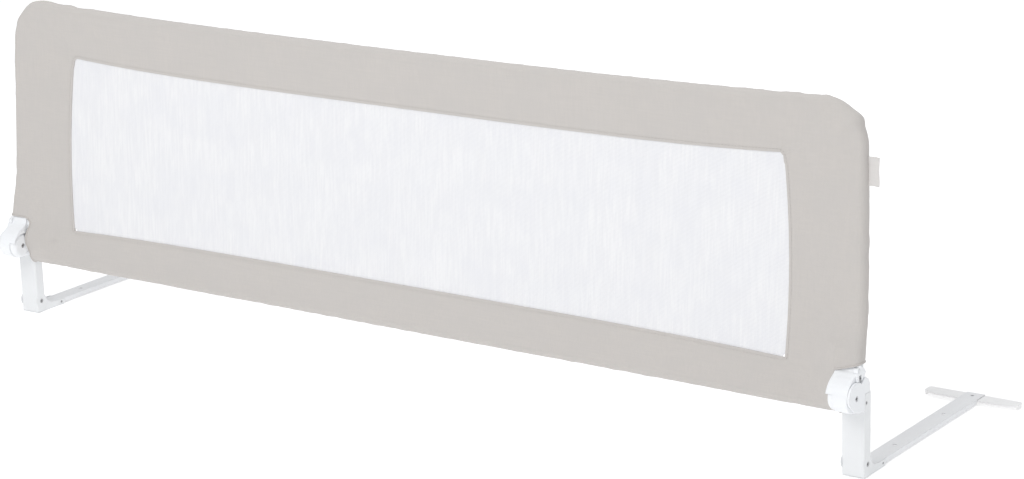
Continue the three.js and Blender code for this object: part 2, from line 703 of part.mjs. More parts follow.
// Stations round the right half of the cover: an edge point, its inward direction and a seam point
function coverStations() {
  const stations = [];
  const add = (edge, inward, seam) => stations.push({ edge, inward, seam });
  topShares.forEach((share) => {
    const x = windowHalfTop * share;
    add([x, coverTopAt(x)], [0, -1], [x - windowTurn * (share === 1), windowTopAt(share)]);
  });
  for (let step = 0; step <= curveSteps; step += 1) {
    const angle = (1 - step / curveSteps) * (Math.PI / 2);
    const [across, up] = [Math.cos(angle), Math.sin(angle)];
    const turn = Math.min(step, curveSteps - 1) / curveSteps;
    const seam = [windowHalfTop - windowTurn * (1 - turn), windowTopAt(1) - windowTurn * turn];
    add([cornerX + cornerRadius * across, cornerZ + cornerRadius * up], [-across, -up], seam);
  }
  const heights = [...sideShares.map((share) => cornerZ - (cornerZ - footTop) * share), ...footHeights];
  const windowHeight = windowTopAt(1) - windowBottomAt(1);
  heights.forEach((z) => {
    const share = (z - windowBottomAt(1)) / windowHeight;
    add([coverSideAt(z), z], [-1, 0], [windowSideAt(share), z]);
  });
  hemShares.forEach((share) => {
    const z = coverBottom + coverRadius + (hemHeight - coverBottom - coverRadius) * share;
    add([coverHalfBottom, z], [-1, 0], [windowSideAt(0), windowBottomAt(1)]);
  });
  turnShares.forEach((share) => {
    const x = windowHalfBottom + (innerX - windowHalfBottom) * share;
    add([x, coverBottom], [0, 1], [windowHalfBottom - windowTurn * (1 - share), windowBottomAt(1)]);
  });
  lowerShares.forEach((share) => {
    const x = windowHalfBottom * share;
    add([x, coverBottom], [0, 1], [x, windowBottomAt(share)]);
  });
  return stations;
}

function fullLoop(stations) {
  const flip = ([x, z]) => [-x, z];
  const left = stations.slice(1, -1).reverse();
  return [...stations, ...left.map(({ edge, inward, seam }) => (
    { edge: flip(edge), inward: flip(inward), seam: flip(seam) }
  ))];
}

function smooth(share) {
  const held = Math.min(Math.max(share, 0), 1);
  return held * held * (3 - 2 * held);
}

// Forward push on the cover from the tubes' feet and the knuckles' arms
function coverPush(x, z, front) {
  const beside = smooth((Math.abs(x) - innerX + bulgeWidth) / bulgeWidth);
  const foot = footOffset(z) * beside;
  const level = 1 - smooth(Math.abs(z - bulgeCentre) / bulgeHeight);
  const bulge = front ? bulgeDepth * beside * level : 0;
  return Math.max(foot, footOffset(hemHeight)) * smooth((z - bulgeCentre) / bulgeHeight) - bulge;
}

// One section of the cover: a round over the tube, tapering to the window's seam
function coverRing({ edge, inward, seam }, wall) {
  const ring = coverRadius - wall;
  const seamHalf = (seamThickness - wall) / 2;
  const centre = edge.map((value, axis) => value + inward[axis] * coverRadius);
  const width = Math.hypot(seam[0] - centre[0], seam[1] - centre[1]);
  const reach = (width - wall) / width;
  const profile = [];
  const taper = (share, side) => [
    centre[0] + (seam[0] - centre[0]) * share * reach, centre[1] + (seam[1] - centre[1]) * share * reach,
    side * (ring + (seamHalf - ring) * share),
  ];
  [...taperShares].reverse().forEach((share) => profile.push(taper(share, -1)));
  for (let step = 0; step <= curveSteps; step += 1) {
    const angle = (step / curveSteps) * Math.PI;
    const [outward, offset] = [-ring * Math.sin(angle), -ring * Math.cos(angle)];
    profile.push([centre[0] + inward[0] * outward, centre[1] + inward[1] * outward, offset]);
  }
  taperShares.forEach((share) => profile.push(taper(share, 1)));
  return profile.reverse().map(([x, z, offset]) => panelPoint(x, z, offset + coverPush(x, z, offset < 0)));
}

function fabricCover() {
  const hem = (x) => hemHeight + hemSlopeShare * (x - innerX);
  const edge = innerX - coverInset;
  const far = outerX + 2 * overrun;
  const deep = edge - neckNotch;
  const corner = new THREE.Shape([
    [edge, coverBottom - 2 * overrun], [edge, pivot.z + neckNotchStart], [deep, pivot.z + neckNotchEnd],
    [deep, hem(deep)], [far, hem(far)], [far, coverBottom - 2 * overrun],
  ].map(([x, z]) => new THREE.Vector2(x, z)));
  const depth = 2 * (hingeReach + postDepth);
  const cutter = pushedUp(corner, depth, 1);
  cutter.rotateX(Math.PI / 2).translate(0, depth / 2, 0);
  const stations = fullLoop(coverStations());
  const [outside, inside] = [0, coverWall].map((wall) => (
    solid(loft(stations.map((station) => coverRing(station, wall)), true))
  ));
  return outside.subtract(inside).subtract(solid(cutter)).subtract(solid(mirrored(withIndex(cutter))));
}

function withIndex(geometry) {
  const bare = geometry.clone();
  bare.deleteAttribute('normal');
  bare.deleteAttribute('uv');
  return mergeVertices(bare);
}

// Window net: a thin sheet that ends just inside the cover's window edge
function meshWindow() {
  const middleZ = (windowTop + windowBottom) / 2;
  const corners = fullLoop(coverStations()).map(({ seam }) => seam);
  const points = corners.filter(([x, z], place) => {
    const [nextX, nextZ] = corners[(place + 1) % corners.length];
    return Math.hypot(nextX - x, nextZ - z) > gap;
  }).map(([x, z]) => {
    const inset = gap * Math.min(Math.abs(x) / windowHalfTop, 1);
    return new THREE.Vector2(x - Math.sign(x) * inset, z - Math.sign(z - middleZ) * gap);
  });
  const sheet = pushedUp(new THREE.Shape(points), meshThickness, 1);
  return onPanel(sheet, -meshThickness / 2);
}

// Lays a flat extrusion, drawn in X and height, onto the leaning plane
function onPanel(geometry, from) {
  const flat = withIndex(geometry);
  const position = flat.attributes.position;
  for (let vertex = 0; vertex < position.count; vertex += 1) {
    const place = panelPoint(position.getX(vertex), position.getY(vertex), -from - position.getZ(vertex));
    position.setXYZ(vertex, place.x, place.y, place.z);
  }
  return solid(flat);
}

function sideTag() {
  const middle = tagBottom + tagHeight / 2;
  const from = coverSideAt(tagBottom) + gap;
  const outline = new THREE.Shape([
    [from, tagBottom], [from + tagWidth, tagBottom], [from + tagWidth, tagBottom + tagHeight],
    [coverSideAt(tagBottom + tagHeight) + gap, tagBottom + tagHeight], [coverSideAt(middle) + gap, middle],
  ].map(([x, z]) => new THREE.Vector2(x, z)));
  const tag = pushedUp(outline, tagThickness, 1);
  return onPanel(tag, -tagThickness / 2);
}

// Finishes
const whiteSteel = new THREE.MeshStandardMaterial({ color: 0xf0f0f0, roughness: 0.45, metalness: 0.1 });
const whitePlastic = new THREE.MeshStandardMaterial({ color: 0xf4f4f6, roughness: 0.5, metalness: 0 });
const greyPlastic = new THREE.MeshStandardMaterial({ color: 0x9a9a9c, roughness: 0.55, metalness: 0 });
const zincSteel = new THREE.MeshStandardMaterial({ color: 0xb4b4b4, roughness: 0.4, metalness: 0.8 });
const bareSteel = new THREE.MeshStandardMaterial({ color: 0xc0c0c0, roughness: 0.35, metalness: 0.9 });
const greigeCloth = new THREE.MeshStandardMaterial({ color: 0xcdc9c5, roughness: 0.95, metalness: 0 });
const whiteNet = new THREE.MeshStandardMaterial({ color: 0xf5f6f9, roughness: 0.9, metalness: 0 });

const assembly = new THREE.Group();
assembly.position.y = -(frontReach + armEnd) / 2;

function place(name, geometry, material) {
  const mesh = new THREE.Mesh(geometry, material);
  mesh.name = name;
  assembly.add(mesh);
}

const rivetHalf = postWidth / 2 - gap;
const sidePieces = [
  ['post', post(), whiteSteel],
  ['foot_rivet', rivet(footRivetRadius, rivetHalf, footPivot.y, footPivot.z), zincSteel],
  ['foot_bracket', footBracket(), whiteSteel],
  ['arm_rivet', rivet(armRivetRadius, bracketHalf, armRivetSetback, armTop - armRivetDrop), zincSteel],
  ['base_arm', baseArm(), whiteSteel],
  ['cross_foot', crossFoot(), whiteSteel],
  ['cross_foot_screw', crossFootScrew(), zincSteel],
  ['hinge_base', hingeBase(), whitePlastic],
  ['hinge_base_rivet', rivet(housingRivetRadius, rivetHalf, housingRivetSetback, housingRivetZ), zincSteel],
  ['knuckle', knuckle(), whitePlastic],
  ['hinge_pin', hingePin(), zincSteel],
  ['lock_slide', lockSlide(), greyPlastic],
  ['lock_spring', lockSpring(), zincSteel],
  ['side_tube', sideTube(), bareSteel],
  ['bottom_tube', bottomTube(), bareSteel],
];
sidePieces.forEach(([name, body, material]) => {
  const geometry = geometryOf(body);
  place(`right_${name}`, geometry, material);
  place(`left_${name}`, mirrored(geometry), material);
});
place('top_tube', geometryOf(middleTube((x) => coverTopAt(x) - coverRadius)), bareSteel);
place('middle_bottom_tube', geometryOf(middleTube(() => lowerTubeZ)), bareSteel);
place('fabric_cover', geometryOf(fabricCover()), greigeCloth);
place('mesh_window', geometryOf(meshWindow()), whiteNet);
place('side_tag', geometryOf(sideTag()), greigeCloth);

export default assembly;
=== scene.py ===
"""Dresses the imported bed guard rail: sewn cover, net window, tag, stitching and surface finishes.

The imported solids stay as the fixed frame. The soft pieces are rebuilt here as sewn cloth, and every
solid gets a finish made of shader nodes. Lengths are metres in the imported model's own frame.
"""
from __future__ import annotations

import json
import logging
import math
from collections.abc import Iterator, Sequence
from dataclasses import dataclass
from enum import Enum

import bmesh
import bpy
from mathutils import Matrix, Vector, noise


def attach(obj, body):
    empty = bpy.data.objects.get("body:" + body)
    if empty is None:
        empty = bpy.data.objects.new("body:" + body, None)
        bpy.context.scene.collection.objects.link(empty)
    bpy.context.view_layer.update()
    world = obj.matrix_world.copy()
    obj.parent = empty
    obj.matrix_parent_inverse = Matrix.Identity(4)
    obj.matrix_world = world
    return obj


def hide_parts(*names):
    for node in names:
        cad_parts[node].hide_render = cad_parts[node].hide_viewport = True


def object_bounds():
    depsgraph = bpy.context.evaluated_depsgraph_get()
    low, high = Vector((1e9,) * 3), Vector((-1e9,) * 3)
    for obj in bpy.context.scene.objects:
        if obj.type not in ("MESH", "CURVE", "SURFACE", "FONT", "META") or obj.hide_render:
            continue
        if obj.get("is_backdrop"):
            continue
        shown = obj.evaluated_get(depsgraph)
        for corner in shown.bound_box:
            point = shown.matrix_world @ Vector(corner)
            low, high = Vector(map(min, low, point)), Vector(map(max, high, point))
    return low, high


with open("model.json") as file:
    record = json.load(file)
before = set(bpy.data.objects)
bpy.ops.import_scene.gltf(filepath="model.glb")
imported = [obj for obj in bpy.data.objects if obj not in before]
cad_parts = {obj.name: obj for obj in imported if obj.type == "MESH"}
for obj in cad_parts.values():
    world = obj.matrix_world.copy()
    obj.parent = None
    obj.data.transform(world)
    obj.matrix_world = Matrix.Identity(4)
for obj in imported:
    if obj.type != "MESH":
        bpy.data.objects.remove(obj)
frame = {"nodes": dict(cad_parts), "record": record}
CAD_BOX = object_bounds()
LOG = logging.getLogger("guard_rail")
Pair = tuple[float, float]
Triple = tuple[float, float, float]
Colour = tuple[float, float, float, float]
Span = tuple[float, float, float, float]
Socket = bpy.types.NodeSocket
Sockets = dict[str, Socket]
STEEP_ROD = 0.05
STEEP_STITCH = 0.1
STITCH_SIDES = 4
STITCH_SHOULDERS = (0.22, 0.78)


class Slot(Enum):
    """The record's material slots."""

    WHITE_STEEL = "white_steel"
    WHITE_PLASTIC = "white_plastic"
    GREY_PLASTIC = "grey_plastic"
    ZINC_STEEL = "zinc_steel"
    TUBE_STEEL = "tube_steel"
    COVER_CLOTH = "cover_cloth"
    WINDOW_NET = "window_net"
    TAG_CLOTH = "tag_cloth"


class End(Enum):
    """The rail's two ends, as the sign of their place along the rail."""

    LEFT = -1
    RIGHT = 1


class Layer(Enum):
    """The cover's two layers of cloth, as the side of the panel they lie on."""

    FRONT = -1
    BACK = 1


def grey(value: float) -> Colour:
    """Returns a neutral colour of that brightness."""
    return (value, value, value, 1.0)


def toned(colour: Colour, tone: Triple) -> Colour:
    """Returns a colour with its channels times a tone's, up to 1."""
    return tuple(min(1.0, channel * share) for channel, share in zip(colour, tone)) + (1.0,)


class Board:
    """A node tree being wired."""

    row_length = 8
    pitch = (200, -240)

    def __init__(self, tree: bpy.types.NodeTree) -> None:
        """Starts on a material's or group's tree."""
        self.tree = tree
        self.count = 0

    def add(self, kind: str, inputs: dict[str | int, object] | None = None,
            **settings: object) -> bpy.types.Node:
        """Adds a node.

        Args:
            kind: The node's type.
            inputs: Sockets or plain values for its inputs, by name or number.
            settings: The node's own settings.

        Returns:
            The new node.
        """
        node = self.tree.nodes.new(kind)
        row, column = divmod(self.count, self.row_length)
        node.location = (self.pitch[0] * column, self.pitch[1] * row)
        self.count += 1
        for name, value in settings.items():
            setattr(node, name, value)
        for key, value in (inputs or {}).items():
            if isinstance(value, Socket):
                self.tree.links.new(value, node.inputs[key])
            else:
                node.inputs[key].default_value = value
        return node

    def maths(self, operation: str, *values: Socket | float) -> Socket:
        """Adds a maths node of one to three values and returns its result."""
        return self.add("ShaderNodeMath", dict(enumerate(values)), operation=operation).outputs[0]

    def product(self, first: Socket, *others: Socket | float) -> Socket:
        """Multiplies values, from left to right.

        Args:
            first: The first value's socket.
            others: The other values.

        Returns:
            The product's socket.
        """
        for other in others:
            first = self.maths("MULTIPLY", first, other)
        return first

    def mean(self, first: Socket, second: Socket) -> Socket:
        """Returns the value halfway between two."""
        return self.maths("MULTIPLY_ADD", first, 0.5, self.maths("MULTIPLY", second, 0.5))

    def around(self, value: Socket, swing: float, middle: float) -> Socket:
        """Spreads a value from 0 to 1 over a swing about a middle."""
        return self.maths("MULTIPLY_ADD", value, swing, middle - swing / 2)

    def ranged(self, value: Socket, span: Span) -> Socket:
        """Maps a value, clamped, by a span: its low and high, then the results there."""
        return self.add("ShaderNodeMapRange", dict(enumerate((value, *span)))).outputs[0]

    def mixed(self, share: Socket, first: Socket | Colour, second: Socket | Colour) -> Socket:
        """Mixes two colours by the share of the second."""
        inputs = {0: share, 6: first, 7: second}
        return self.add("ShaderNodeMix", inputs, data_type="RGBA").outputs[2]

    def blended(self, value: Socket, span: Span, first: Socket | Colour, second: Colour) -> Socket:
        """Mixes in a second colour by where a value lies in a span, as ranged maps it."""
        return self.mixed(self.ranged(value, span), first, second)

    def noise(self, place: Socket, scale: float, detail: float = 2.0, roughness: float = 0.5) -> Socket:
        """Adds a noise of that many spots per metre, with its octaves and their strength."""
        inputs = {"Vector": place, "Scale": scale, "Detail": detail, "Roughness": roughness}
        return self.add("ShaderNodeTexNoise", inputs).outputs[0]

    def stretched(self, place: Socket, scale: Triple) -> Socket:
        """Scales a place along X, Y and Z."""
        return self.add("ShaderNodeMapping", {"Vector": place, "Scale": scale}).outputs[0]

    def bump(self, size: Pair, height: Socket, normal: Socket | None = None) -> Socket:
        """Adds a bump.

        Args:
            size: Its strength and distance.
            height: The height's socket.
            normal: The normal to start from, where it isn't the face's own.

        Returns:
            The new normal's socket.
        """
        inputs = {"Strength": size[0], "Distance": size[1], "Height": height}
        if normal is not None:
            inputs["Normal"] = normal
        return self.add("ShaderNodeBump", inputs).outputs[0]


class Effect:
    """A shader node group that several finishes share, built once."""

    title = "effect"
    takes: tuple[tuple[str, float], ...] = ()
    gives: tuple[str, ...] = ()

    def wire(self, board: Board, given: Sockets) -> Sockets:
        """Wires the group's inside.

        Args:
            board: The group's tree.
            given: The group's inputs by name, with the place on the surface as Place.

        Returns:
            The sockets that feed the group's outputs, by name.
        """
        raise NotImplementedError

    def tree(self) -> bpy.types.NodeTree:
        """Returns the group's tree, made on first use."""
        found = bpy.data.node_groups.get(self.title)
        if found:
            return found
        tree = bpy.data.node_groups.new(self.title, "ShaderNodeTree")
        tree.interface.new_socket("Place", in_out="INPUT", socket_type="NodeSocketVector")
        for name, value in self.takes:
            socket = tree.interface.new_socket(name, in_out="INPUT", socket_type="NodeSocketFloat")
            socket.default_value = value
        for name in self.gives:
            tree.interface.new_socket(name, in_out="OUTPUT", socket_type="NodeSocketFloat")
        board = Board(tree)
        entry = board.add("NodeGroupInput")
        given = {name: entry.outputs[name] for name in ("Place", *dict(self.takes))}
        board.add("NodeGroupOutput", self.wire(board, given))
        return tree

    def use(self, board: Board, place: Socket, **values: float) -> bpy.types.NodeOutputs:
        """Places the group in a material and returns its outputs."""
        return board.add("ShaderNodeGroup", {"Place": place, **values}, node_tree=self.tree()).outputs


class PlainWeave(Effect):
    """Over and under threads of a plain weave, with thicker and thinner yarns."""

    title = "plain_weave"
    takes = (("Threads", 900.0),)
    gives = ("Height", "Slub")
    yarns = (620.0, 1.0)
    yarn_length = 0.04
    slub_height = 0.6

    def wire(self, board: Board, given: Sockets) -> Sockets:
        """Wires two crossing waves and the yarns' unevenness."""
        axes = board.add("ShaderNodeSeparateXYZ", {0: given["Place"]}).outputs
        waves = [board.maths("SINE", board.product(axes[i], given["Threads"], math.pi)) for i in (0, 2)]
        crossing = board.maths("MULTIPLY_ADD", board.product(*waves), 0.5, 0.5)
        warp, weft = (board.noise(board.stretched(given["Place"], scale), *self.yarns)
                      for scale in ((1.0, 1.0, self.yarn_length), (self.yarn_length, 1.0, 1.0)))
        slub = board.mean(warp, weft)
        return {"Height": board.maths("MULTIPLY_ADD", slub, self.slub_height, crossing), "Slub": slub}


class KnitNet(Effect):
    """Fine net: upright wales with small holes between them."""

    title = "knit_net"
    takes = (("Wales", 800.0),)
    gives = ("Height", "Thread", "Streak")
    rows_per_wale = 0.86
    hole_edge = (0.62, 0.84, 1.0, 0.0)
    streaks = 330.0
    streak_length = 0.045

    def wire(self, board: Board, given: Sockets) -> Sockets:
        """Wires the rows of holes, set half a hole over in each next row, and the upright streaks."""
        axes = board.add("ShaderNodeSeparateXYZ", {0: given["Place"]}).outputs
        row = board.product(axes[2], given["Wales"], math.pi * self.rows_per_wale)
        column = board.product(axes[0], given["Wales"], math.pi)
        holes = board.product(board.maths("COSINE", row), board.maths("COSINE", column))
        depth = board.maths("ABSOLUTE", holes)
        streak = board.noise(board.stretched(given["Place"], (1.0, 1.0, self.streak_length)), self.streaks)
        height = board.maths("MULTIPLY_ADD", streak, 0.5, board.maths("SUBTRACT", 1.0, depth))
        return {"Height": height, "Thread": board.ranged(depth, self.hole_edge), "Streak": streak}


class FineGrain(Effect):
    """The small bumps of powder coat and moulded plastic, and a broad unevenness."""

    title = "fine_grain"
    gives = ("Height", "Mottle")
    fine = (1500.0, 2.0, 0.6)
    soft = (420.0, 1.0)
    broad = (26.0, 3.0, 0.55)
    soft_height = 0.7

    def wire(self, board: Board, given: Sockets) -> Sockets:
        """Wires two fine noises and a broad one."""
        fine = board.noise(given["Place"], *self.fine)
        soft = board.noise(given["Place"], *self.soft)
        mottle = board.noise(given["Place"], *self.broad)
        return {"Height": board.maths("MULTIPLY_ADD", soft, self.soft_height, fine), "Mottle": mottle}


class EdgeWear(Effect):
    """A mask of worn and burnished edges, broken up by noise."""

    title = "edge_wear"
    takes = (("Amount", 0.5),)
    gives = ("Mask",)
    radius = 0.0009
    samples = 6
    turn = (0.985, 0.80, 0.0, 1.0)
    breaks = (190.0, 4.0, 0.65)
    patches = (0.42, 0.62, 0.15, 1.0)

    def wire(self, board: Board, given: Sockets) -> Sockets:
        """Compares the rounded normal with the true one."""
        rounded = board.add("ShaderNodeBevel", {"Radius": self.radius}, samples=self.samples).outputs[0]
        true = board.add("ShaderNodeNewGeometry").outputs["Normal"]
        match = board.add("ShaderNodeVectorMath", {0: rounded, 1: true}, operation="DOT_PRODUCT")
        edge = board.ranged(match.outputs["Value"], self.turn)
        broken = board.ranged(board.noise(given["Place"], *self.breaks), self.patches)
        return {"Mask": board.product(edge, broken, given["Amount"])}


class Dust(Effect):
    """A mask of the dust that settles on faces that look up."""

    title = "settled_dust"
    takes = (("Amount", 0.2),)
    gives = ("Mask",)
    slope = (0.45, 1.0, 0.0, 1.0)
    clouds = (60.0, 5.0, 0.6)
    patches = (0.35, 0.75, 0.1, 1.0)

    def wire(self, board: Board, given: Sockets) -> Sockets:
        """Wires the upward share of the normal through a soft noise."""
        normal = board.add("ShaderNodeNewGeometry").outputs["Normal"]
        upward = board.ranged(board.add("ShaderNodeSeparateXYZ", {0: normal}).outputs[2], self.slope)
        clouds = board.ranged(board.noise(given["Place"], *self.clouds), self.patches)
        return {"Mask": board.product(upward, clouds, given["Amount"])}


class DrawnLines(Effect):
    """Fine lines that drawing or turning leaves in steel."""

    title = "drawn_lines"
    gives = ("Height", "Streak")
    line_length = 0.03
    lines = (900.0, 3.0, 0.6)
    broad = 70.0

    def wire(self, board: Board, given: Sockets) -> Sockets:
        """Wires a noise that is drawn out along the rail."""
        lines = board.noise(board.stretched(given["Place"], (self.line_length, 1.0, 1.0)), *self.lines)
        return {"Height": lines, "Streak": board.mean(board.noise(given["Place"], self.broad), lines)}


@dataclass(frozen=True)
class Finish:
    """A surface finish that becomes one material."""

    name: str
    colour: Colour
    roughness: float
    constant: tuple[tuple[str, float], ...] = ()

    def shade(self, board: Board, place: Socket) -> Sockets:
        """Wires the finish's own colour, roughness and bump.

        Args:
            board: The material's tree.
            place: The place on the surface.

        Returns:
            The sockets that feed the Principled shader, by its inputs' names.
        """
        raise NotImplementedError

    def material(self) -> bpy.types.Material:
        """Returns the finished material."""
        material = bpy.data.materials.new(self.name)
        material.use_nodes = True
        material.node_tree.nodes.clear()
        material.diffuse_color = self.colour
        board = Board(material.node_tree)
        place = board.add("ShaderNodeTexCoord").outputs["Object"]
        inputs = {"Base Color": self.colour, "Roughness": self.roughness, **dict(self.constant)}
        shader = board.add("ShaderNodeBsdfPrincipled", inputs)
        for name, socket in self.shade(board, place).items():
            board.tree.links.new(socket, shader.inputs[name])
        board.add("ShaderNodeOutputMaterial", {"Surface": shader.outputs[0]})
        return material


@dataclass(frozen=True)
class HardSurface(Finish):
    """A hard surface with fine grain, a broad unevenness, rubbed edges and softened corners."""

    wear: float = 0.35
    dust: float = 0.0
    mottle: Span = (0.3, 0.7, 0.0, 0.55)
    second_tone: Triple = (0.955, 0.955, 0.955)
    unevenness: float = 0.16
    polish: float = 0.12
    edge_radius: float = 0.0006
    edge_samples: int = 6
    bump: Pair = (0.16, 0.00008)
    dust_colour: Colour = (0.70, 0.68, 0.65, 1.0)
    rubbed_colour: Colour = grey(0.93)

    def rubbed(self) -> Colour:
        """Returns the colour of a rubbed edge."""
        return self.rubbed_colour

    def shade(self, board: Board, place: Socket) -> Sockets:
        """Wires the grain, the rubbed edges and any dust."""
        grain = FineGrain().use(board, place)
        worn = EdgeWear().use(board, place, Amount=self.wear)["Mask"]
        second = toned(self.colour, self.second_tone)
        base = board.blended(grain["Mottle"], self.mottle, self.colour, second)
        base = board.mixed(worn, base, self.rubbed())
        if self.dust:
            base = board.mixed(Dust().use(board, place, Amount=self.dust)["Mask"], base, self.dust_colour)
        rough = board.around(grain["Mottle"], self.unevenness, self.roughness)
        rough = board.maths("SUBTRACT", rough, board.product(worn, self.polish))
        soft = board.add("ShaderNodeBevel", {"Radius": self.edge_radius}, samples=self.edge_samples)
        normal = board.bump(self.bump, grain["Height"], soft.outputs[0])
        return {"Base Color": base, "Roughness": rough, "Normal": normal}


@dataclass(frozen=True)
class CoatedSteel(HardSurface):
    """White powder coat on steel, smooth with a slight orange peel and a little dust."""

    dust: float = 0.10


@dataclass(frozen=True)
class MouldedPlastic(HardSurface):
    """Moulded plastic with a fine spark texture and burnished edges."""

    wear: float = 0.3
    mottle: Span = (0.3, 0.72, 0.0, 0.6)
    second_tone: Triple = (0.965, 0.97, 0.985)
    unevenness: float = 0.14
    polish: float = 0.15
    edge_radius: float = 0.0011
    edge_samples: int = 8
    bump: Pair = (0.22, 0.0001)
    lighter: Triple = (1.05, 1.05, 1.05)

    def rubbed(self) -> Colour:
        """Returns the colour of a burnished edge."""
        return toned(self.colour, self.lighter)


@dataclass(frozen=True)
class PlainSteel(Finish):
    """Zinc-plated or drawn steel with fine lines and slightly dull spots."""

    wear: float = 0.5
    spots: Colour = (0.42, 0.42, 0.43, 1.0)
    worn_colour: Colour = grey(0.86)
    dullness: Span = (0.42, 0.66, 0.0, 0.5)
    unevenness: float = 0.3
    smoothest: float = 0.12
    bump: Pair = (0.2, 0.00005)

    def shade(self, board: Board, place: Socket) -> Sockets:
        """Wires the drawn lines, dull spots and worn edges."""
        lines = DrawnLines().use(board, place)
        worn = EdgeWear().use(board, place, Amount=self.wear)["Mask"]
        base = board.blended(lines["Streak"], self.dullness, self.colour, self.spots)
        base = board.mixed(worn, base, self.worn_colour)
        rough = board.maths("MULTIPLY_ADD", lines["Streak"], self.unevenness, self.roughness - self.smoothest)
        return {"Base Color": base, "Roughness": rough, "Normal": board.bump(self.bump, lines["Height"])}


@dataclass(frozen=True)
class WovenCloth(Finish):
    """Plain woven cloth with matt, uneven yarns, and painted shade in the weave's hollows."""

    threads: float = 950.0
    # painted shade: the cloth is darkened where the weave lies low, between the threads
    painted_weave_shade: Span = (0.25, 1.0, 1.0, 0.0)
    painted_weave_shade_tone: Triple = (0.93, 0.93, 0.93)
    slub: Span = (0.40, 0.62, 0.0, 0.5)
    slub_tone: Triple = (1.04, 1.035, 1.03)
    mottle: Span = (0.38, 0.66, 0.0, 0.5)
    second_tone: Triple = (0.96, 0.967, 0.975)
    unevenness: float = 0.1
    bump: Pair = (0.55, 0.00022)

    def shade(self, board: Board, place: Socket) -> Sockets:
        """Wires the weave, painted shade in its hollows, the yarns' colours and a slow change of tone."""
        weave = PlainWeave().use(board, place, Threads=self.threads)
        grain = FineGrain().use(board, place)
        # painted shade in the weave's hollows, darker where the weave height is low
        base = board.blended(weave["Height"], self.painted_weave_shade, self.colour, toned(self.colour, self.painted_weave_shade_tone))
        base = board.blended(weave["Slub"], self.slub, base, toned(self.colour, self.slub_tone))
        base = board.blended(grain["Mottle"], self.mottle, base, toned(self.colour, self.second_tone))
        rough = board.around(weave["Slub"], self.unevenness, self.roughness)
        return {"Base Color": base, "Roughness": rough, "Normal": board.bump(self.bump, weave["Height"])}


@dataclass(frozen=True)
class WindowNet(Finish):
    """Fine white net with upright wales and small holes."""

    wales: float = 760.0
    openness: float = 0.22
    streak: Span = (0.40, 0.64, 0.0, 1.0)
    streak_tone: Triple = (1.05, 1.05, 1.04)
    mottle: Span = (0.4, 0.65, 0.0, 0.5)
    second_tone: Triple = (0.965, 0.97, 0.985)
    unevenness: float = 0.12
    bump: Pair = (0.25, 0.0002)

    def shade(self, board: Board, place: Socket) -> Sockets:
        """Wires the holes into the alpha, and the streaks into the colour."""
        knit = KnitNet().use(board, place, Wales=self.wales)
        grain = FineGrain().use(board, place)
        base = board.blended(knit["Streak"], self.streak, self.colour, toned(self.colour, self.streak_tone))
        base = board.blended(grain["Mottle"], self.mottle, base, toned(self.colour, self.second_tone))
        rough = board.around(knit["Streak"], self.unevenness, self.roughness)
        return {"Base Color": base, "Roughness": rough,
                "Alpha": board.ranged(knit["Thread"], (0.0, 1.0, 1.0 - self.openness, 1.0)),
                "Normal": board.bump(self.bump, knit["Height"])}


@dataclass(frozen=True)
class PaleFloor(Finish):
    """A plain pale floor that glows a little, and a little more where the camera sees it."""

    glow: float = 0.27
    seen_glow: float = 0.12
    patches: float = 3.0
    mottle: Span = (0.3, 0.7, 0.0, 1.0)
    second_tone: Triple = (0.995, 0.995, 0.995)

    def shade(self, board: Board, place: Socket) -> Sockets:
        """Wires a barely uneven tone and the glow."""
        second = toned(self.colour, self.second_tone)
        base = board.blended(board.noise(place, self.patches), self.mottle, self.colour, second)
        seen = board.add("ShaderNodeLightPath").outputs["Is Camera Ray"]
        glow = board.maths("MULTIPLY_ADD", seen, self.seen_glow, self.glow)
        return {"Base Color": base, "Emission Color": base, "Emission Strength": glow}


FINISHES: dict[Slot, Finish] = {
    Slot.WHITE_STEEL: CoatedSteel("white_powder_coat", (0.835, 0.845, 0.855, 1.0), 0.42,
                                  (("Coat Weight", 0.12), ("Coat Roughness", 0.3))),
    Slot.WHITE_PLASTIC: MouldedPlastic("white_moulded_plastic", (0.90, 0.91, 0.925, 1.0), 0.46),
    Slot.GREY_PLASTIC: MouldedPlastic("grey_moulded_plastic", (0.34, 0.34, 0.35, 1.0), 0.5),
    Slot.ZINC_STEEL: PlainSteel("zinc_plated_steel", (0.50, 0.50, 0.51, 1.0), 0.42, (("Metallic", 0.9),)),
    Slot.TUBE_STEEL: PlainSteel("drawn_tube_steel", (0.52, 0.52, 0.53, 1.0), 0.36, (("Metallic", 1.0),)),
    Slot.COVER_CLOTH: WovenCloth("greige_woven_cloth", (0.562, 0.532, 0.507, 1.0), 0.9,
                                 (("Sheen Weight", 0.18), ("Sheen Roughness", 0.5))),
    Slot.WINDOW_NET: WindowNet("white_window_net", (0.822, 0.820, 0.838, 1.0), 0.85,
                               (("Sheen Weight", 0.1),)),
    Slot.TAG_CLOTH: WovenCloth("tag_ribbon", (0.69, 0.665, 0.645, 1.0), 0.6,
                               (("Sheen Weight", 0.25),), threads=1500.0),
}

OWN_COATS_AND_LIT_COPY: dict[str, CoatedSteel] = {
    # painted light: the arms' coat is a lighter copy of the white powder coat, brightening them where the
    # panel's shadow falls; the cross foot's paler coat is its own paint
    "base_arm": CoatedSteel("arm_powder_coat_painted_light", (0.895, 0.90, 0.915, 1.0), 0.42, (("Coat Weight", 0.12),)),
    "cross_foot": CoatedSteel("pale_powder_coat", (0.965, 0.96, 0.96, 1.0), 0.45, (("Coat Weight", 0.1),)),
}


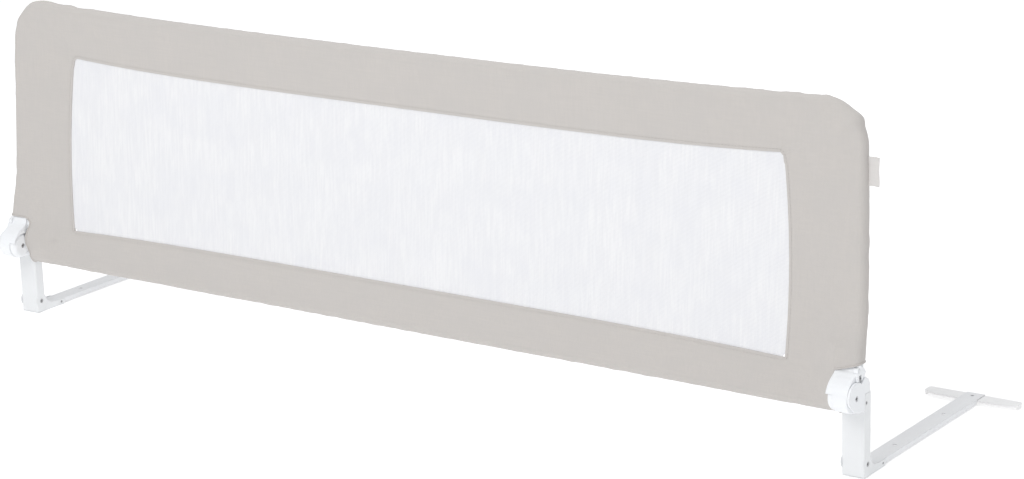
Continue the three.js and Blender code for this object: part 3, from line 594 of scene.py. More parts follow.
class Wardrobe:
    """Hands out each finish's material, made once."""

    def __init__(self) -> None:
        """Starts with nothing made."""
        self.made: dict[str, bpy.types.Material] = {}

    def dress(self, piece: bpy.types.Object, slot: Slot, finish: Finish | None = None) -> None:
        """Gives a piece one finish.

        Args:
            piece: The mesh object.
            slot: The record's slot for it.
            finish: The finish, where it isn't the slot's usual one.
        """
        chosen = finish or FINISHES[slot]
        if chosen.name not in self.made:
            self.made[chosen.name] = chosen.material()
        piece.data.materials.clear()
        piece.data.materials.append(self.made[chosen.name])

    def hang(self, piece: bpy.types.Object, slot: Slot, body: str = "rail") -> None:
        """Dresses a new piece and lets it ride on a body.

        Args:
            piece: The piece.
            slot: The record's slot for it.
            body: The body that it rides on.
        """
        self.dress(piece, slot)
        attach(piece, body)
        LOG.info("made %s with %d faces", piece.name, len(piece.data.polygons))


def smooth(share: float) -> float:
    """Returns an eased share between 0 and 1."""
    held = min(max(share, 0.0), 1.0)
    return held * held * (3.0 - 2.0 * held)


def mixed_point(first: Pair, second: Pair, share: float) -> Pair:
    """Returns the point that share of the way from first to second."""
    return (first[0] + (second[0] - first[0]) * share, first[1] + (second[1] - first[1]) * share)


def shares(steps: int, first: int = 0, whole: bool = False) -> Iterator[float]:
    """Returns even shares of 1, from a first step up to 1 itself or one step before."""
    return (step / steps for step in range(first, steps + whole))


def shade_smooth(mesh: bpy.types.Mesh, degrees: float) -> None:
    """Shades a mesh smooth, but for edges sharper than an angle."""
    mesh.shade_smooth()
    mesh.set_sharp_from_angle(angle=math.radians(degrees))


def piece_from(bm: bmesh.types.BMesh, name: str, degrees: float | None = None) -> bpy.types.Object:
    """Makes an object of the scene from a work mesh.

    Args:
        bm: The work mesh, freed here.
        name: The object's and its mesh's name.
        degrees: The sharpest edge that is shaded smooth. Without it every face is flat.

    Returns:
        The object.
    """
    mesh = bpy.data.meshes.new(name)
    bm.to_mesh(mesh)
    bm.free()
    if degrees is not None:
        shade_smooth(mesh, degrees)
    piece = bpy.data.objects.new(name, mesh)
    bpy.context.scene.collection.objects.link(piece)
    return piece


def add_grid(bm: bmesh.types.BMesh, rows: Sequence[Sequence[Vector]], closed: bool = False) -> None:
    """Adds a sheet of four-sided faces.

    Args:
        bm: The mesh that gets it.
        rows: The sheet's points.
        closed: Whether it runs round to its start both ways.
    """
    grid = [[bm.verts.new(point) for point in row] for row in rows]
    count = len(grid[0])
    for low, high in zip(grid, grid[1:] + grid[:closed]):
        for column in range(count if closed else count - 1):
            beside = (column + 1) % count
            bm.faces.new((low[column], low[beside], high[beside], high[column]))


@dataclass(frozen=True)
class HingeCut:
    """The cloth's cut edge round one hinge, as places out along the rail and heights, from the bottom up."""

    front: tuple[Pair, ...]
    neck_room: float
    back: tuple[Pair, ...] = ((0.6428, 0.0), (0.6428, 0.118), (0.6383, 0.126), (0.6383, 0.144), (0.70, 0.144))

    def edge(self, layer: Layer) -> tuple[Pair, ...]:
        """Returns one layer's cut edge."""
        return self.front if layer is Layer.FRONT else self.back

    def takes(self, out: float, height: float, layer: Layer) -> bool:
        """Tells whether a place is cut away.

        Args:
            out: The place along the rail, from the middle.
            height: Its height.
            layer: Its layer of cloth.

        Returns:
            Whether it lies on the hinge's side of the cut edge.
        """
        outline = self.edge(layer) + ((self.edge(layer)[-1][0], 0.0),)
        inside = False
        for (out_1, up_1), (out_2, up_2) in zip(outline, outline[1:] + outline[:1]):
            if (up_1 > height) != (up_2 > height):
                crossing = out_1 + (height - up_1) / (up_2 - up_1) * (out_2 - out_1)
                inside ^= out < crossing
        return inside


CUTS: dict[End, HingeCut] = {
    End.LEFT: HingeCut(((0.6428, 0.0), (0.6428, 0.118), (0.6372, 0.135), (0.6376, 0.1385), (0.6405, 0.1425),
                        (0.6465, 0.1443), (0.70, 0.145)), 0.0025),
    End.RIGHT: HingeCut(((0.6428, 0.0), (0.6428, 0.1345), (0.70, 0.1517)), 0.0062),
}


@dataclass
class Panel:
    """The leaning panel's plane and the outlines of its cover and window."""

    shift: float = -0.1432825
    lean_share: float = 0.05887
    setback: float = 0.0029
    inner_x: float = 0.644
    cover_radius: float = 0.0089
    cover_bottom: float = 0.0773
    cover_top: float = 0.4404
    cover_top_rise: float = 0.008
    half_top: float = 0.6676
    half_bottom: float = 0.6745
    corner_radius: float = 0.058
    hem_height: float = 0.1435
    foot_top: float = 0.212
    foot_blend: float = 0.024
    foot_slope_share: float = 0.1327
    window_top: float = 0.3663
    window_top_rise: float = 0.009
    window_bottom: float = 0.1364
    window_bottom_drop: float = 0.0055
    window_half_top: float = 0.558
    window_half_middle: float = 0.5685
    window_half_bottom: float = 0.5665
    window_turn: float = 0.005

    @property
    def lower_tube_z(self) -> float:
        """Returns the height of the lower tube's middle."""
        return self.cover_bottom + self.cover_radius

    @property
    def corner(self) -> Pair:
        """Returns the centre of the right upper corner's round."""
        return (self.half_top - self.corner_radius, self.cover_top + self.cover_top_rise - self.corner_radius)

    def point(self, x: float, z: float, offset: float) -> Vector:
        """Returns a place on the leaning plane.

        Args:
            x: The place along the rail.
            z: Its height.
            offset: Its offset square to the plane.

        Returns:
            The place.
        """
        lean = math.atan(self.lean_share)
        y = self.shift + self.setback + (z - self.lower_tube_z) * self.lean_share
        return Vector((x, y + offset * math.cos(lean), z - offset * math.sin(lean)))

    def foot_offset(self, z: float) -> float:
        """Returns how far the side tubes' feet stand in front of the plane.

        Args:
            z: The height.

        Returns:
            The feet's offset, below 0 to the front.
        """
        below = self.foot_top - z
        if below <= 0:
            return 0.0
        if below < self.foot_blend:
            return -self.foot_slope_share * below * below / (2 * self.foot_blend)
        return -self.foot_slope_share * (below - self.foot_blend / 2)

    def top_at(self, x: float) -> float:
        """Returns the cover's upper edge at a place along the rail."""
        return self.cover_top + self.cover_top_rise * (abs(x) / self.corner[0]) ** 3

    def side_at(self, z: float) -> float:
        """Returns the cover's half width at a height."""
        share = (self.corner[1] - z) / (self.corner[1] - self.hem_height)
        return self.half_top + (self.half_bottom - self.half_top) * share

    def window_top_at(self, share: float) -> float:
        """Returns the window's upper edge at a share of its half width."""
        return self.window_top + self.window_top_rise * abs(share) ** 4

    def window_bottom_at(self, share: float) -> float:
        """Returns the window's lower edge at a share of its half width."""
        return self.window_bottom - self.window_bottom_drop * abs(share) ** 4

    def window_side_at(self, share: float) -> float:
        """Returns the window's half width.

        Args:
            share: The share of its height, from the bottom.

        Returns:
            The half width there.
        """
        straight = self.window_half_bottom + (self.window_half_top - self.window_half_bottom) * share
        middle = (self.window_half_top + self.window_half_bottom) / 2
        return straight + (self.window_half_middle - middle) * 4 * share * (1 - share)

    def side_seam(self, z: float) -> Pair:
        """Returns the seam at the window's end, at a height."""
        low, high = self.window_bottom_at(1), self.window_top_at(1)
        return (self.window_side_at((z - low) / (high - low)), z)

    def corner_seam(self, share: float) -> Pair:
        """Returns the seam that share of the way round the window's upper corner."""
        turn = self.window_turn
        return (self.window_half_top - turn * (1 - share), self.window_top_at(1) - turn * share)


@dataclass
class Station:
    """One section of the cover: its edge, inward direction, seam point and corner share."""

    edge: Pair
    inward: Pair
    seam: Pair
    gather: float = 0.0

    def flipped(self) -> Station:
        """Returns the same section at the rail's other end."""
        return Station((-self.edge[0], self.edge[1]), (-self.inward[0], self.inward[1]),
                       (-self.seam[0], self.seam[1]), self.gather)


@dataclass(frozen=True)
class Tuck:
    """A place on the cover's edge where the cloth stands out (or lies in) more than beside it."""

    place: Pair
    height: float
    width: float

    def rise_at(self, edge: Pair) -> float:
        """Returns this tuck's rise at a place on the edge."""
        return self.height * math.exp(-(math.dist(edge, self.place) / self.width) ** 2)


TUCKS: tuple[Tuck, ...] = (
    Tuck((-0.5600, 0.4466), 0.0009, 0.009), Tuck((-0.5450, 0.4461), -0.0030, 0.006),
    Tuck((-0.6330, 0.4436), 0.0022, 0.016), Tuck((-0.6050, 0.4482), 0.0012, 0.013),
    Tuck((-0.6675, 0.3940), -0.0020, 0.012), Tuck((-0.6705, 0.2700), -0.0012, 0.060),
    Tuck((0.5490, 0.4462), -0.0018, 0.007), Tuck((0.5960, 0.4479), -0.0010, 0.012),
    Tuck((0.6280, 0.4452), -0.0030, 0.012), Tuck((0.6545, 0.4270), 0.0016, 0.010),
    Tuck((0.6668, 0.3990), -0.0030, 0.015))


@dataclass(frozen=True)
class Waves:
    """Uneven waves in a cloth: their length, their number across it, a seed and their height."""

    length: float
    across: float
    seed: float
    height: float

    def rise_at(self, along: float, share: float, seed: float = 0.0) -> float:
        """Returns the rise at a place along the cloth and a share of the way across."""
        return self.height * noise.noise(Vector((along / self.length, share * self.across, self.seed + seed)))


@dataclass
class Cover:
    """The sewn sleeve over the frame, with rolled hems and a topstitched window."""

    panel: Panel
    wardrobe: Wardrobe
    wall: float = 0.0009
    seam_thickness: float = 0.0026
    taper_swell: float = 0.12
    bulge_depth: float = 0.0138
    bulge_width: float = 0.045
    bulge_height: float = 0.034
    bulge_centre: float = 0.112
    neck_top: float = 0.1545
    neck_width: float = 0.022
    neck_reach: float = 0.020
    outer_room_share: float = 0.5
    cut_reach: Pair = (0.025, 0.02)
    hem_radius: float = 0.0011
    hem_sides: int = 7
    hem_pitch: float = 0.0022
    hem_points: int = 12
    slack: float = 0.00085
    slack_gain: float = 0.002
    arc_steps: int = 14
    flat_shares: tuple[float, ...] = (0.07, 0.15, 0.25, 0.37, 0.5, 0.64, 0.78, 0.88, 0.95, 1.0)
    top_steps: int = 92
    shoulder_steps: int = 9
    corner_steps: int = 20
    blend_steps: int = 12
    end_steps: int = 36
    foot_steps: int = 8
    heel_steps: int = 14
    bottom_steps: int = 90
    corner_turned: float = 5 / 6
    blend_share: float = 1 / 3
    blend_turned: float = 0.2
    foot_turned: float = 0.25
    heel_end: float = 0.95
    bottom_start: float = 0.985
    gather_start: float = 0.8
    top_gather: float = 0.5
    shoulder_gather: float = 0.6
    end_gather: float = 0.2
    heel_gather: float = 0.3
    bottom_gather: float = 0.1
    pucker: Waves = Waves(0.016, 1.6, 0.0, 1.0)
    fine: Waves = Waves(0.0075, 2.4, 11.0, 0.00022)
    slow: Waves = Waves(0.11, 1.3, 23.0, 0.0011)
    layer_seed: float = 4.7
    pucker_height: float = 0.00055
    gathered_height: float = 0.0013
    gathered_swell: float = 0.0003
    edge_fade: float = 6.0
    seam_fade: float = 9.0
    tuck_fade: float = 5.0
    round_loss: float = 0.7
    stitch_pitch: float = 0.0046
    stitch_length: float = 0.0032
    stitch_radius: float = 0.00032
    stitch_inset: float = 0.0035
    stitch_lift: float = 0.0003
    seam_pitch: float = 0.0008
    allowance: float = 0.02
    weld: float = 0.00002
    snap: float = 0.00001
    cloth_angle: float = 55.0
    hem_angle: float = 60.0
    stitch_angle: float = 80.0

    def upper_edge(self) -> Iterator[Station]:
        """Yields the sections from the middle of the top to the corner's round."""
        p = self.panel
        half = p.window_half_top
        for share in shares(self.top_steps):
            x = half * share
            gather = self.top_gather * smooth((share - self.gather_start) / (1 - self.gather_start))
            seam = (min(x, half - p.window_turn), p.window_top_at(share))
            yield Station((x, p.top_at(x)), (0, -1), seam, gather)
        for share in shares(self.shoulder_steps):
            x = half + (p.corner[0] - half) * share
            gather = self.shoulder_gather + (1 - self.shoulder_gather) * share
            yield Station((x, p.top_at(x)), (0, -1), p.corner_seam(0), gather)

    def corner(self) -> Iterator[Station]:
        """Yields the sections round the upper corner."""
        p = self.panel
        for share in shares(self.corner_steps, whole=True):
            angle = (1 - share) * math.pi / 2
            across, up = math.cos(angle), math.sin(angle)
            edge = (p.corner[0] + p.corner_radius * across, p.corner[1] + p.corner_radius * up)
            yield Station(edge, (-across, -up), p.corner_seam(share * self.corner_turned), 1.0)

    def end_edge(self) -> Iterator[Station]:
        """Yields the sections down the panel's end, to the middle of the lower tube."""
        p = self.panel
        blend_z = p.corner[1] - (p.corner[1] - p.foot_top) * self.blend_share
        for share in shares(self.blend_steps, first=1):
            z = p.corner[1] + (blend_z - p.corner[1]) * share
            seam = mixed_point(p.corner_seam(self.corner_turned), p.side_seam(blend_z), share)
            seam = p.side_seam(seam[1]) if share > self.blend_turned else seam
            yield Station((p.side_at(z), z), (-1, 0), seam, 1 - (1 - self.end_gather) * share)
        for share in shares(self.end_steps, whole=True):
            z = blend_z + (p.hem_height - blend_z) * share
            yield Station((p.side_at(z), z), (-1, 0), p.side_seam(z), self.end_gather)
        last = (p.window_half_bottom, p.window_bottom_at(1))
        for share in shares(self.foot_steps, first=1, whole=True):
            z = p.hem_height + (p.lower_tube_z - p.hem_height) * share
            seam = mixed_point(p.side_seam(p.hem_height), last, min(share / self.foot_turned, 1.0))
            yield Station((p.half_bottom, z), (-1, 0), seam, self.end_gather)

    def lower_edge(self) -> Iterator[Station]:
        """Yields the sections from the panel's end to the middle of the bottom."""
        p = self.panel
        half = p.window_half_bottom
        for share in shares(self.heel_steps):
            left = 1 - share * self.heel_end
            seam = (half - p.window_turn * (1 - left), p.window_bottom_at(1))
            yield Station((half + (p.inner_x - half) * left, p.cover_bottom), (0, 1), seam, self.heel_gather)
        for share in shares(self.bottom_steps, whole=True):
            left = self.bottom_start * (1 - share)
            seam = (half * left, p.window_bottom_at(left))
            yield Station((half * left, p.cover_bottom), (0, 1), seam, self.bottom_gather)

    def loop(self) -> list[Station]:
        """Returns the sections all the way round."""
        right = [*self.upper_edge(), *self.corner(), *self.end_edge(), *self.lower_edge()]
        return right + [station.flipped() for station in reversed(right[1:-1])]

    def neck_room(self, x: float, z: float, offset: float) -> float:
        """Returns how far the front layer is held off a knuckle's neck.

        Args:
            x: The place along the rail.
            z: Its height.
            offset: Its offset off the plane.

        Returns:
            The room that the neck takes.
        """
        p = self.panel
        room = CUTS[End.RIGHT if x > 0 else End.LEFT].neck_room
        level = smooth((self.neck_top + self.neck_reach - z) / self.neck_reach)
        close = smooth((abs(x) - p.inner_x + self.neck_reach) / self.neck_reach)
        outer = 1 - (1 - self.outer_room_share) * smooth((abs(x) - p.inner_x) / self.neck_width)
        return room * level * close * outer * smooth(-2 * offset / p.cover_radius)

    def push(self, x: float, z: float, offset: float) -> float:
        """Returns how far the tubes' feet and the knuckles push the cloth off the plane.

        Args:
            x: The place along the rail.
            z: Its height.
            offset: Its offset off the plane.

        Returns:
            The push, below 0 to the front.
        """
        p = self.panel
        beside = smooth((abs(x) - p.inner_x + self.bulge_width) / self.bulge_width)
        foot = p.foot_offset(z) * beside
        level = 1 - smooth(abs(z - self.bulge_centre) / self.bulge_height)
        bulge = self.bulge_depth * beside * level if offset < 0 else 0.0
        held = max(foot, p.foot_offset(p.hem_height)) - self.neck_room(x, z, offset)
        return held * smooth((z - self.bulge_centre) / self.bulge_height) - bulge

    def profile(self, station: Station, centre: Pair) -> list[Span]:
        """Returns one section before its wrinkles.

        Args:
            station: The section.
            centre: The tube's middle there.

        Returns:
            For each point its place, its height, its offset off the plane, and its share of the way
            from the tube to the seam.
        """
        radius = self.panel.cover_radius

        def taper(share: float, layer: Layer) -> Span:
            """Returns a point of one layer's flat part, that share of the way to the seam."""
            flat = mixed_point(centre, station.seam, share)
            ease = min(share + self.taper_swell * math.sin(math.pi * share), 1.0)
            return (*flat, layer.value * (radius + (self.seam_thickness / 2 - radius) * ease), share)

        points = [taper(share, Layer.FRONT) for share in reversed(self.flat_shares)]
        for share in shares(self.arc_steps, whole=True):
            outward = -radius * math.sin(share * math.pi)
            points.append((centre[0] + station.inward[0] * outward, centre[1] + station.inward[1] * outward,
                           -radius * math.cos(share * math.pi), 0.0))
        return points + [taper(share, Layer.BACK) for share in self.flat_shares]

    def ring(self, station: Station, travelled: float) -> list[Vector]:
        """Returns one section's points, from the front seam round the tube to the back seam.

        Args:
            station: The section.
            travelled: How far round the cover the section is.

        Returns:
            The section's points.
        """
        p = self.panel
        radius = p.cover_radius
        centre = (station.edge[0] + station.inward[0] * radius, station.edge[1] + station.inward[1] * radius)
        points = self.profile(station, centre)
        ring = []
        for place, (x, z, offset, share) in enumerate(points):
            side = Layer.FRONT if place < len(points) / 2 else Layer.BACK
            lift = self.wrinkle(travelled, share, station.gather, side) + self.tuck(station.edge, share)
            lift = max(lift, -self.slack - self.slack_gain * share)
            round_share = math.hypot(x - centre[0], z - centre[1]) / radius if share == 0 else 0.0
            x += -station.inward[0] * lift * round_share
            z += -station.inward[1] * lift * round_share
            offset += side.value * lift * (1 - self.round_loss * round_share)
            ring.append(p.point(x, z, offset + self.push(x, z, offset)))
        return ring

    def tuck(self, edge: Pair, share: float) -> float:
        """Returns the rise of the few larger tucks, at a share of the way from tube to seam."""
        return math.exp(-share * self.tuck_fade) * sum(tuck.rise_at(edge) for tuck in TUCKS)

    def wrinkle(self, travelled: float, share: float, gather: float, layer: Layer) -> float:
        """Returns the cloth's small rise: puckers square to the edges and slow waves.

        Args:
            travelled: The distance round the cover.
            share: 0 at the tube and 1 at the window's seam.
            gather: How much cloth is gathered there, as at a corner.
            layer: The front or the back layer.

        Returns:
            The rise off the plain shape.
        """
        seed = self.layer_seed * layer.value
        edge_fade = math.exp(-share * self.edge_fade)
        seam_fade = math.exp(-(1 - share) * self.seam_fade)
        pucker = self.pucker.rise_at(travelled, share, seed * (share > 0))
        fine = self.fine.rise_at(travelled, share, seed)
        slow = self.slow.rise_at(travelled, share, seed)
        size = self.pucker_height + self.gathered_height * gather
        rise = size * pucker * edge_fade + fine * (edge_fade + seam_fade)
        middle = math.sin(math.pi * min(share + self.taper_swell, 1.0))
        return rise + slow * middle + self.gathered_swell * pucker * gather

    def sleeve(self, rings: list[list[Vector]]) -> bmesh.types.BMesh:
        """Builds the sleeve's outer face, open where it is cut round the hinges.

        Args:
            rings: The sections' points.

        Returns:
            The outer face.
        """
        bm = bmesh.new()
        add_grid(bm, rings, closed=True)
        bmesh.ops.remove_doubles(bm, verts=bm.verts, dist=self.weld)
        bmesh.ops.recalc_face_normals(bm, faces=bm.faces)
        for end in End:
            self.cut_corner(bm, end)
        return bm

    def layer_of(self, middle: Vector) -> Layer:
        """Tells which layer a place near a hinge lies on."""
        centre = self.panel.point(middle.x, middle.z, self.push(middle.x, middle.z, 0.0))
        return Layer.FRONT if middle.y < centre.y else Layer.BACK

    def cut_corner(self, bm: bmesh.types.BMesh, end: End) -> None:
        """Cuts the cloth away round one hinge.

        Args:
            bm: The sleeve.
            end: The rail's end.
        """
        sign, cut = end.value, CUTS[end]
        for layer in Layer:
            edge = cut.edge(layer)
            for (out, height), (out_after, height_after) in zip(edge, edge[1:]):
                near = [face for face in bm.faces if self.near_corner(face, sign)
                        and self.layer_of(face.calc_center_median()) is layer]
                rims = dict.fromkeys(e for face in near for e in face.edges)
                tips = dict.fromkeys(v for face in near for v in face.verts)
                square = Vector(((height_after - height) * sign, 0, out - out_after)).normalized()
                bmesh.ops.bisect_plane(bm, geom=[*near, *rims, *tips], plane_co=(out * sign, 0, height),
                                       plane_no=square, dist=self.snap)
        gone = []
        for face in bm.faces:
            middle = face.calc_center_median()
            if middle.x * sign > 0 and cut.takes(middle.x * sign, middle.z, self.layer_of(middle)):
                gone.append(face)
        bmesh.ops.delete(bm, geom=gone, context="FACES")

    def near_corner(self, face: bmesh.types.BMFace, sign: int) -> bool:
        """Tells whether a face is close to one hinge.

        Args:
            face: The face.
            sign: The rail's end, as 1 or -1.

        Returns:
            Whether the cut may cross it.
        """
        middle = face.calc_center_median()
        across, up = self.cut_reach
        return middle.x * sign > self.panel.inner_x - across and middle.z < self.panel.hem_height + up

    def with_wall(self, bm: bmesh.types.BMesh) -> bpy.types.Object:
        """Gives the sleeve its thickness.

        Args:
            bm: The outer face, freed here.

        Returns:
            The cover's object.
        """
        piece = piece_from(bm, "cover_cloth")
        wall = piece.modifiers.new("wall", "SOLIDIFY")
        wall.thickness = self.wall
        wall.offset = -1.0
        solid = bpy.data.meshes.new_from_object(piece.evaluated_get(bpy.context.evaluated_depsgraph_get()))
        piece.modifiers.clear()
        piece.data = solid
        shade_smooth(solid, self.cloth_angle)
        return piece

    def hems(self, bm: bmesh.types.BMesh) -> bpy.types.Object:
        """Rolls a thin hem along the cut edges of the cloth.

        Args:
            bm: The outer face, whose open edges are the cuts.

        Returns:
            The hems' object.
        """
        left = dict.fromkeys(e for e in bm.edges if e.is_boundary)
        work = bmesh.new()
        while left:
            edge = next(iter(left))
            first, at = edge.verts
            line = [first.co.copy()]
            while edge:
                del left[edge]
                line.append(at.co.copy())
                edge = next((e for e in at.link_edges if e in left), None)
                at = edge.other_vert(at) if edge else at
            closed = any(e.other_vert(at) == first for e in at.link_edges if e.is_boundary)
            if len(line) > self.hem_points:
                add_rod(work, even_line(line, self.hem_pitch), self.hem_radius, self.hem_sides, closed)
        return piece_from(work, "cover_hems", self.hem_angle)

    def stitches(self, rings: list[list[Vector]]) -> bpy.types.Object:
        """Sews a row of stitches round the window on both layers.

        Args:
            rings: The sections' points.

        Returns:
            The stitches' object.
        """
        bm = bmesh.new()
        for layer, seam, inner in ((Layer.FRONT, 0, 2), (Layer.BACK, -1, -3)):
            line = []
            for ring in rings:
                if not line or (ring[seam] - line[-1][0]).length > self.seam_pitch:
                    line.append((ring[seam], (ring[inner] - ring[seam]).normalized()))
            out = self.panel.point(0, 0, layer.value * self.stitch_lift) - self.panel.point(0, 0, 0)
            path = [place + toward * self.stitch_inset + out for place, toward in line]
            path = even_line([*path, path[0]], self.stitch_pitch)
            for start, after in zip(path, path[1:]):
                add_stitch(bm, start, (after - start).normalized(), self.stitch_length, self.stitch_radius)
        return piece_from(bm, "cover_stitching", self.stitch_angle)

    def build(self) -> None:
        """Builds, dresses and places the cover with its hems and stitching."""
        rings, travelled, previous = [], 0.0, None
        for station in self.loop():
            travelled += math.dist(station.edge, previous.edge) if previous else 0.0
            rings.append(self.ring(station, travelled))
            previous = station
        face = self.sleeve(rings)
        hems = self.hems(face)
        cloth = self.with_wall(face)
        stitching = self.stitches(rings)
        for piece in (cloth, hems, stitching):
            self.wardrobe.hang(piece, Slot.COVER_CLOTH)
        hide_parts("fabric_cover")
        area = sum(face.area for face in cloth.data.polygons) / 2
        height = self.panel.cover_top - self.panel.cover_bottom
        flat = (2 * self.panel.half_bottom + self.allowance, 2 * (height + self.allowance))
        LOG.info("cover: cut %.3f by %.3f m, %.4f square metres", flat[0], flat[1], area)


def even_line(line: Sequence[Vector], pitch: float) -> list[Vector]:
    """Returns points an even distance apart along a line.

    Args:
        line: The line's points.
        pitch: The distance between new points.

    Returns:
        The new points, with both ends kept.
    """
    lengths = [(after - before).length for before, after in zip(line, line[1:])]
    total = sum(lengths)
    points, place, walked = [], 0, 0.0
    for part in shares(max(2, round(total / pitch)), whole=True):
        wanted = total * part
        while place < len(lengths) - 1 and walked + lengths[place] < wanted:
            walked += lengths[place]
            place += 1
        share = (wanted - walked) / lengths[place] if lengths[place] > 0 else 0.0
        points.append(line[place].lerp(line[place + 1], min(max(share, 0.0), 1.0)))
    return points


def add_circle(bm: bmesh.types.BMesh, centre: Vector, arms: tuple[Vector, Vector], radius: float,
               sides: int) -> list[bmesh.types.BMVert]:
    """Adds points round a circle.

    Args:
        bm: The mesh that gets them.
        centre: The circle's centre.
        arms: Two directions square to each other in its plane.
        radius: Its radius.
        sides: How many points.

    Returns:
        The points.
    """
    side, up = arms
    turns = (2 * math.pi * share for share in shares(sides))
    return [bm.verts.new(centre + side * radius * math.cos(a) + up * radius * math.sin(a)) for a in turns]


def add_rod(bm: bmesh.types.BMesh, line: list[Vector], radius: float, sides: int, closed: bool) -> None:
    """Adds a round rod along a line.

    Args:
        bm: The mesh that gets it.
        line: The rod's centre line.
        radius: The rod's radius.
        sides: The points in each ring.
        closed: Whether the line runs back to its start.
    """
    count = len(line)
    rings = []
    up = Vector((0, 0, 1))
    for place, point in enumerate(line):
        before = line[place - 1] if place or closed else line[0]
        after = line[(place + 1) % count] if place < count - 1 or closed else line[-1]
        along = (after - before).normalized()
        side = along.cross(up)
        side = side.normalized() if side.length > STEEP_ROD else along.orthogonal().normalized()
        up = side.cross(along).normalized()
        rings.append(add_circle(bm, point, (side, up), radius, sides))
    for place in range(count if closed else count - 1):
        ring, after = rings[place], rings[(place + 1) % count]
        if place == count - 1:
            shift = min(range(sides), key=lambda s: (ring[0].co - after[s].co).length)
            after = after[shift:] + after[:shift]
        for side in range(sides):
            beside = (side + 1) % sides
            bm.faces.new((ring[side], after[side], after[beside], ring[beside]))
    if not closed:
        bm.faces.new(rings[0])
        bm.faces.new(list(reversed(rings[-1])))


def add_stitch(bm: bmesh.types.BMesh, start: Vector, along: Vector, length: float, radius: float) -> None:
    """Adds one stitch: a short thread that dips into the cloth at both ends.

    Args:
        bm: The mesh that gets it.
        start: Where the stitch starts.
        along: Its direction.
        length: Its length.
        radius: The thread's radius.
    """
    side = along.cross(Vector((0, 1, 0)))
    side = side.normalized() if side.length > STEEP_STITCH else along.orthogonal().normalized()
    arms = (side, side.cross(along))
    tips = [bm.verts.new(start), bm.verts.new(start + along * length)]
    rings = [add_circle(bm, start + along * length * share, arms, radius, STITCH_SIDES)
             for share in STITCH_SHOULDERS]
    for step in range(STITCH_SIDES):
        beside = (step + 1) % STITCH_SIDES
        bm.faces.new((tips[0], rings[0][beside], rings[0][step]))
        bm.faces.new((rings[0][step], rings[0][beside], rings[1][beside], rings[1][step]))
        bm.faces.new((rings[1][step], rings[1][beside], tips[1]))


@dataclass
class NetWindow:
    """The knitted net, sewn in between the cover's layers."""

    panel: Panel
    wardrobe: Wardrobe
    margin: float = 0.0012
    thickness: float = 0.0005
    columns: int = 150
    rows: int = 34
    smooth_angle: float = 50.0
    corner_pull: float = 0.012
    corner_rise: float = 0.02
    ripple: Waves = Waves(1 / 14, 1.2, 3.0, 0.0007)
    slow: Waves = Waves(1 / 3.1, 1.1, 9.0, 0.0016)

    def point(self, across: float, up: float) -> Vector:
        """Returns a place on the net.

        Args:
            across: From -1 at the left edge to 1 at the right.
            up: From 0 at the lower edge to 1 at the upper.

        Returns:
            The place.
        """
        p = self.panel
        half = p.window_side_at(up) + self.margin
        low, high = p.window_bottom_at(across) - self.margin, p.window_top_at(across) + self.margin
        inside = math.sin(math.pi * up) * math.cos(across * math.pi / 2)
        rise = self.ripple.rise_at(across, up) + self.slow.rise_at(across, up)
        return p.point(half * across, low + (high - low) * up, rise * inside)

    def row(self, up: float) -> list[Vector]:
        """Returns the points of one row, a little shorter where the corners turn."""
        limit = 1 - self.corner_pull * max(0.0, 1 - min(up, 1 - up) / self.corner_rise)
        return [self.point((2 * share - 1) * limit, up) for share in shares(self.columns, whole=True)]

    def build(self) -> None:
        """Builds, dresses and places the net."""
        bm = bmesh.new()
        add_grid(bm, [self.row(up) for up in shares(self.rows, whole=True)])
        bm.normal_update()
        bmesh.ops.solidify(bm, geom=bm.faces[:], thickness=self.thickness)
        bmesh.ops.recalc_face_normals(bm, faces=bm.faces)
        piece = piece_from(bm, "window_net", self.smooth_angle)
        self.wardrobe.hang(piece, Slot.WINDOW_NET)
        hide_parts("mesh_window")
        p = self.panel
        flat = (2 * p.window_half_middle, p.window_top_at(1) - p.window_bottom_at(1))


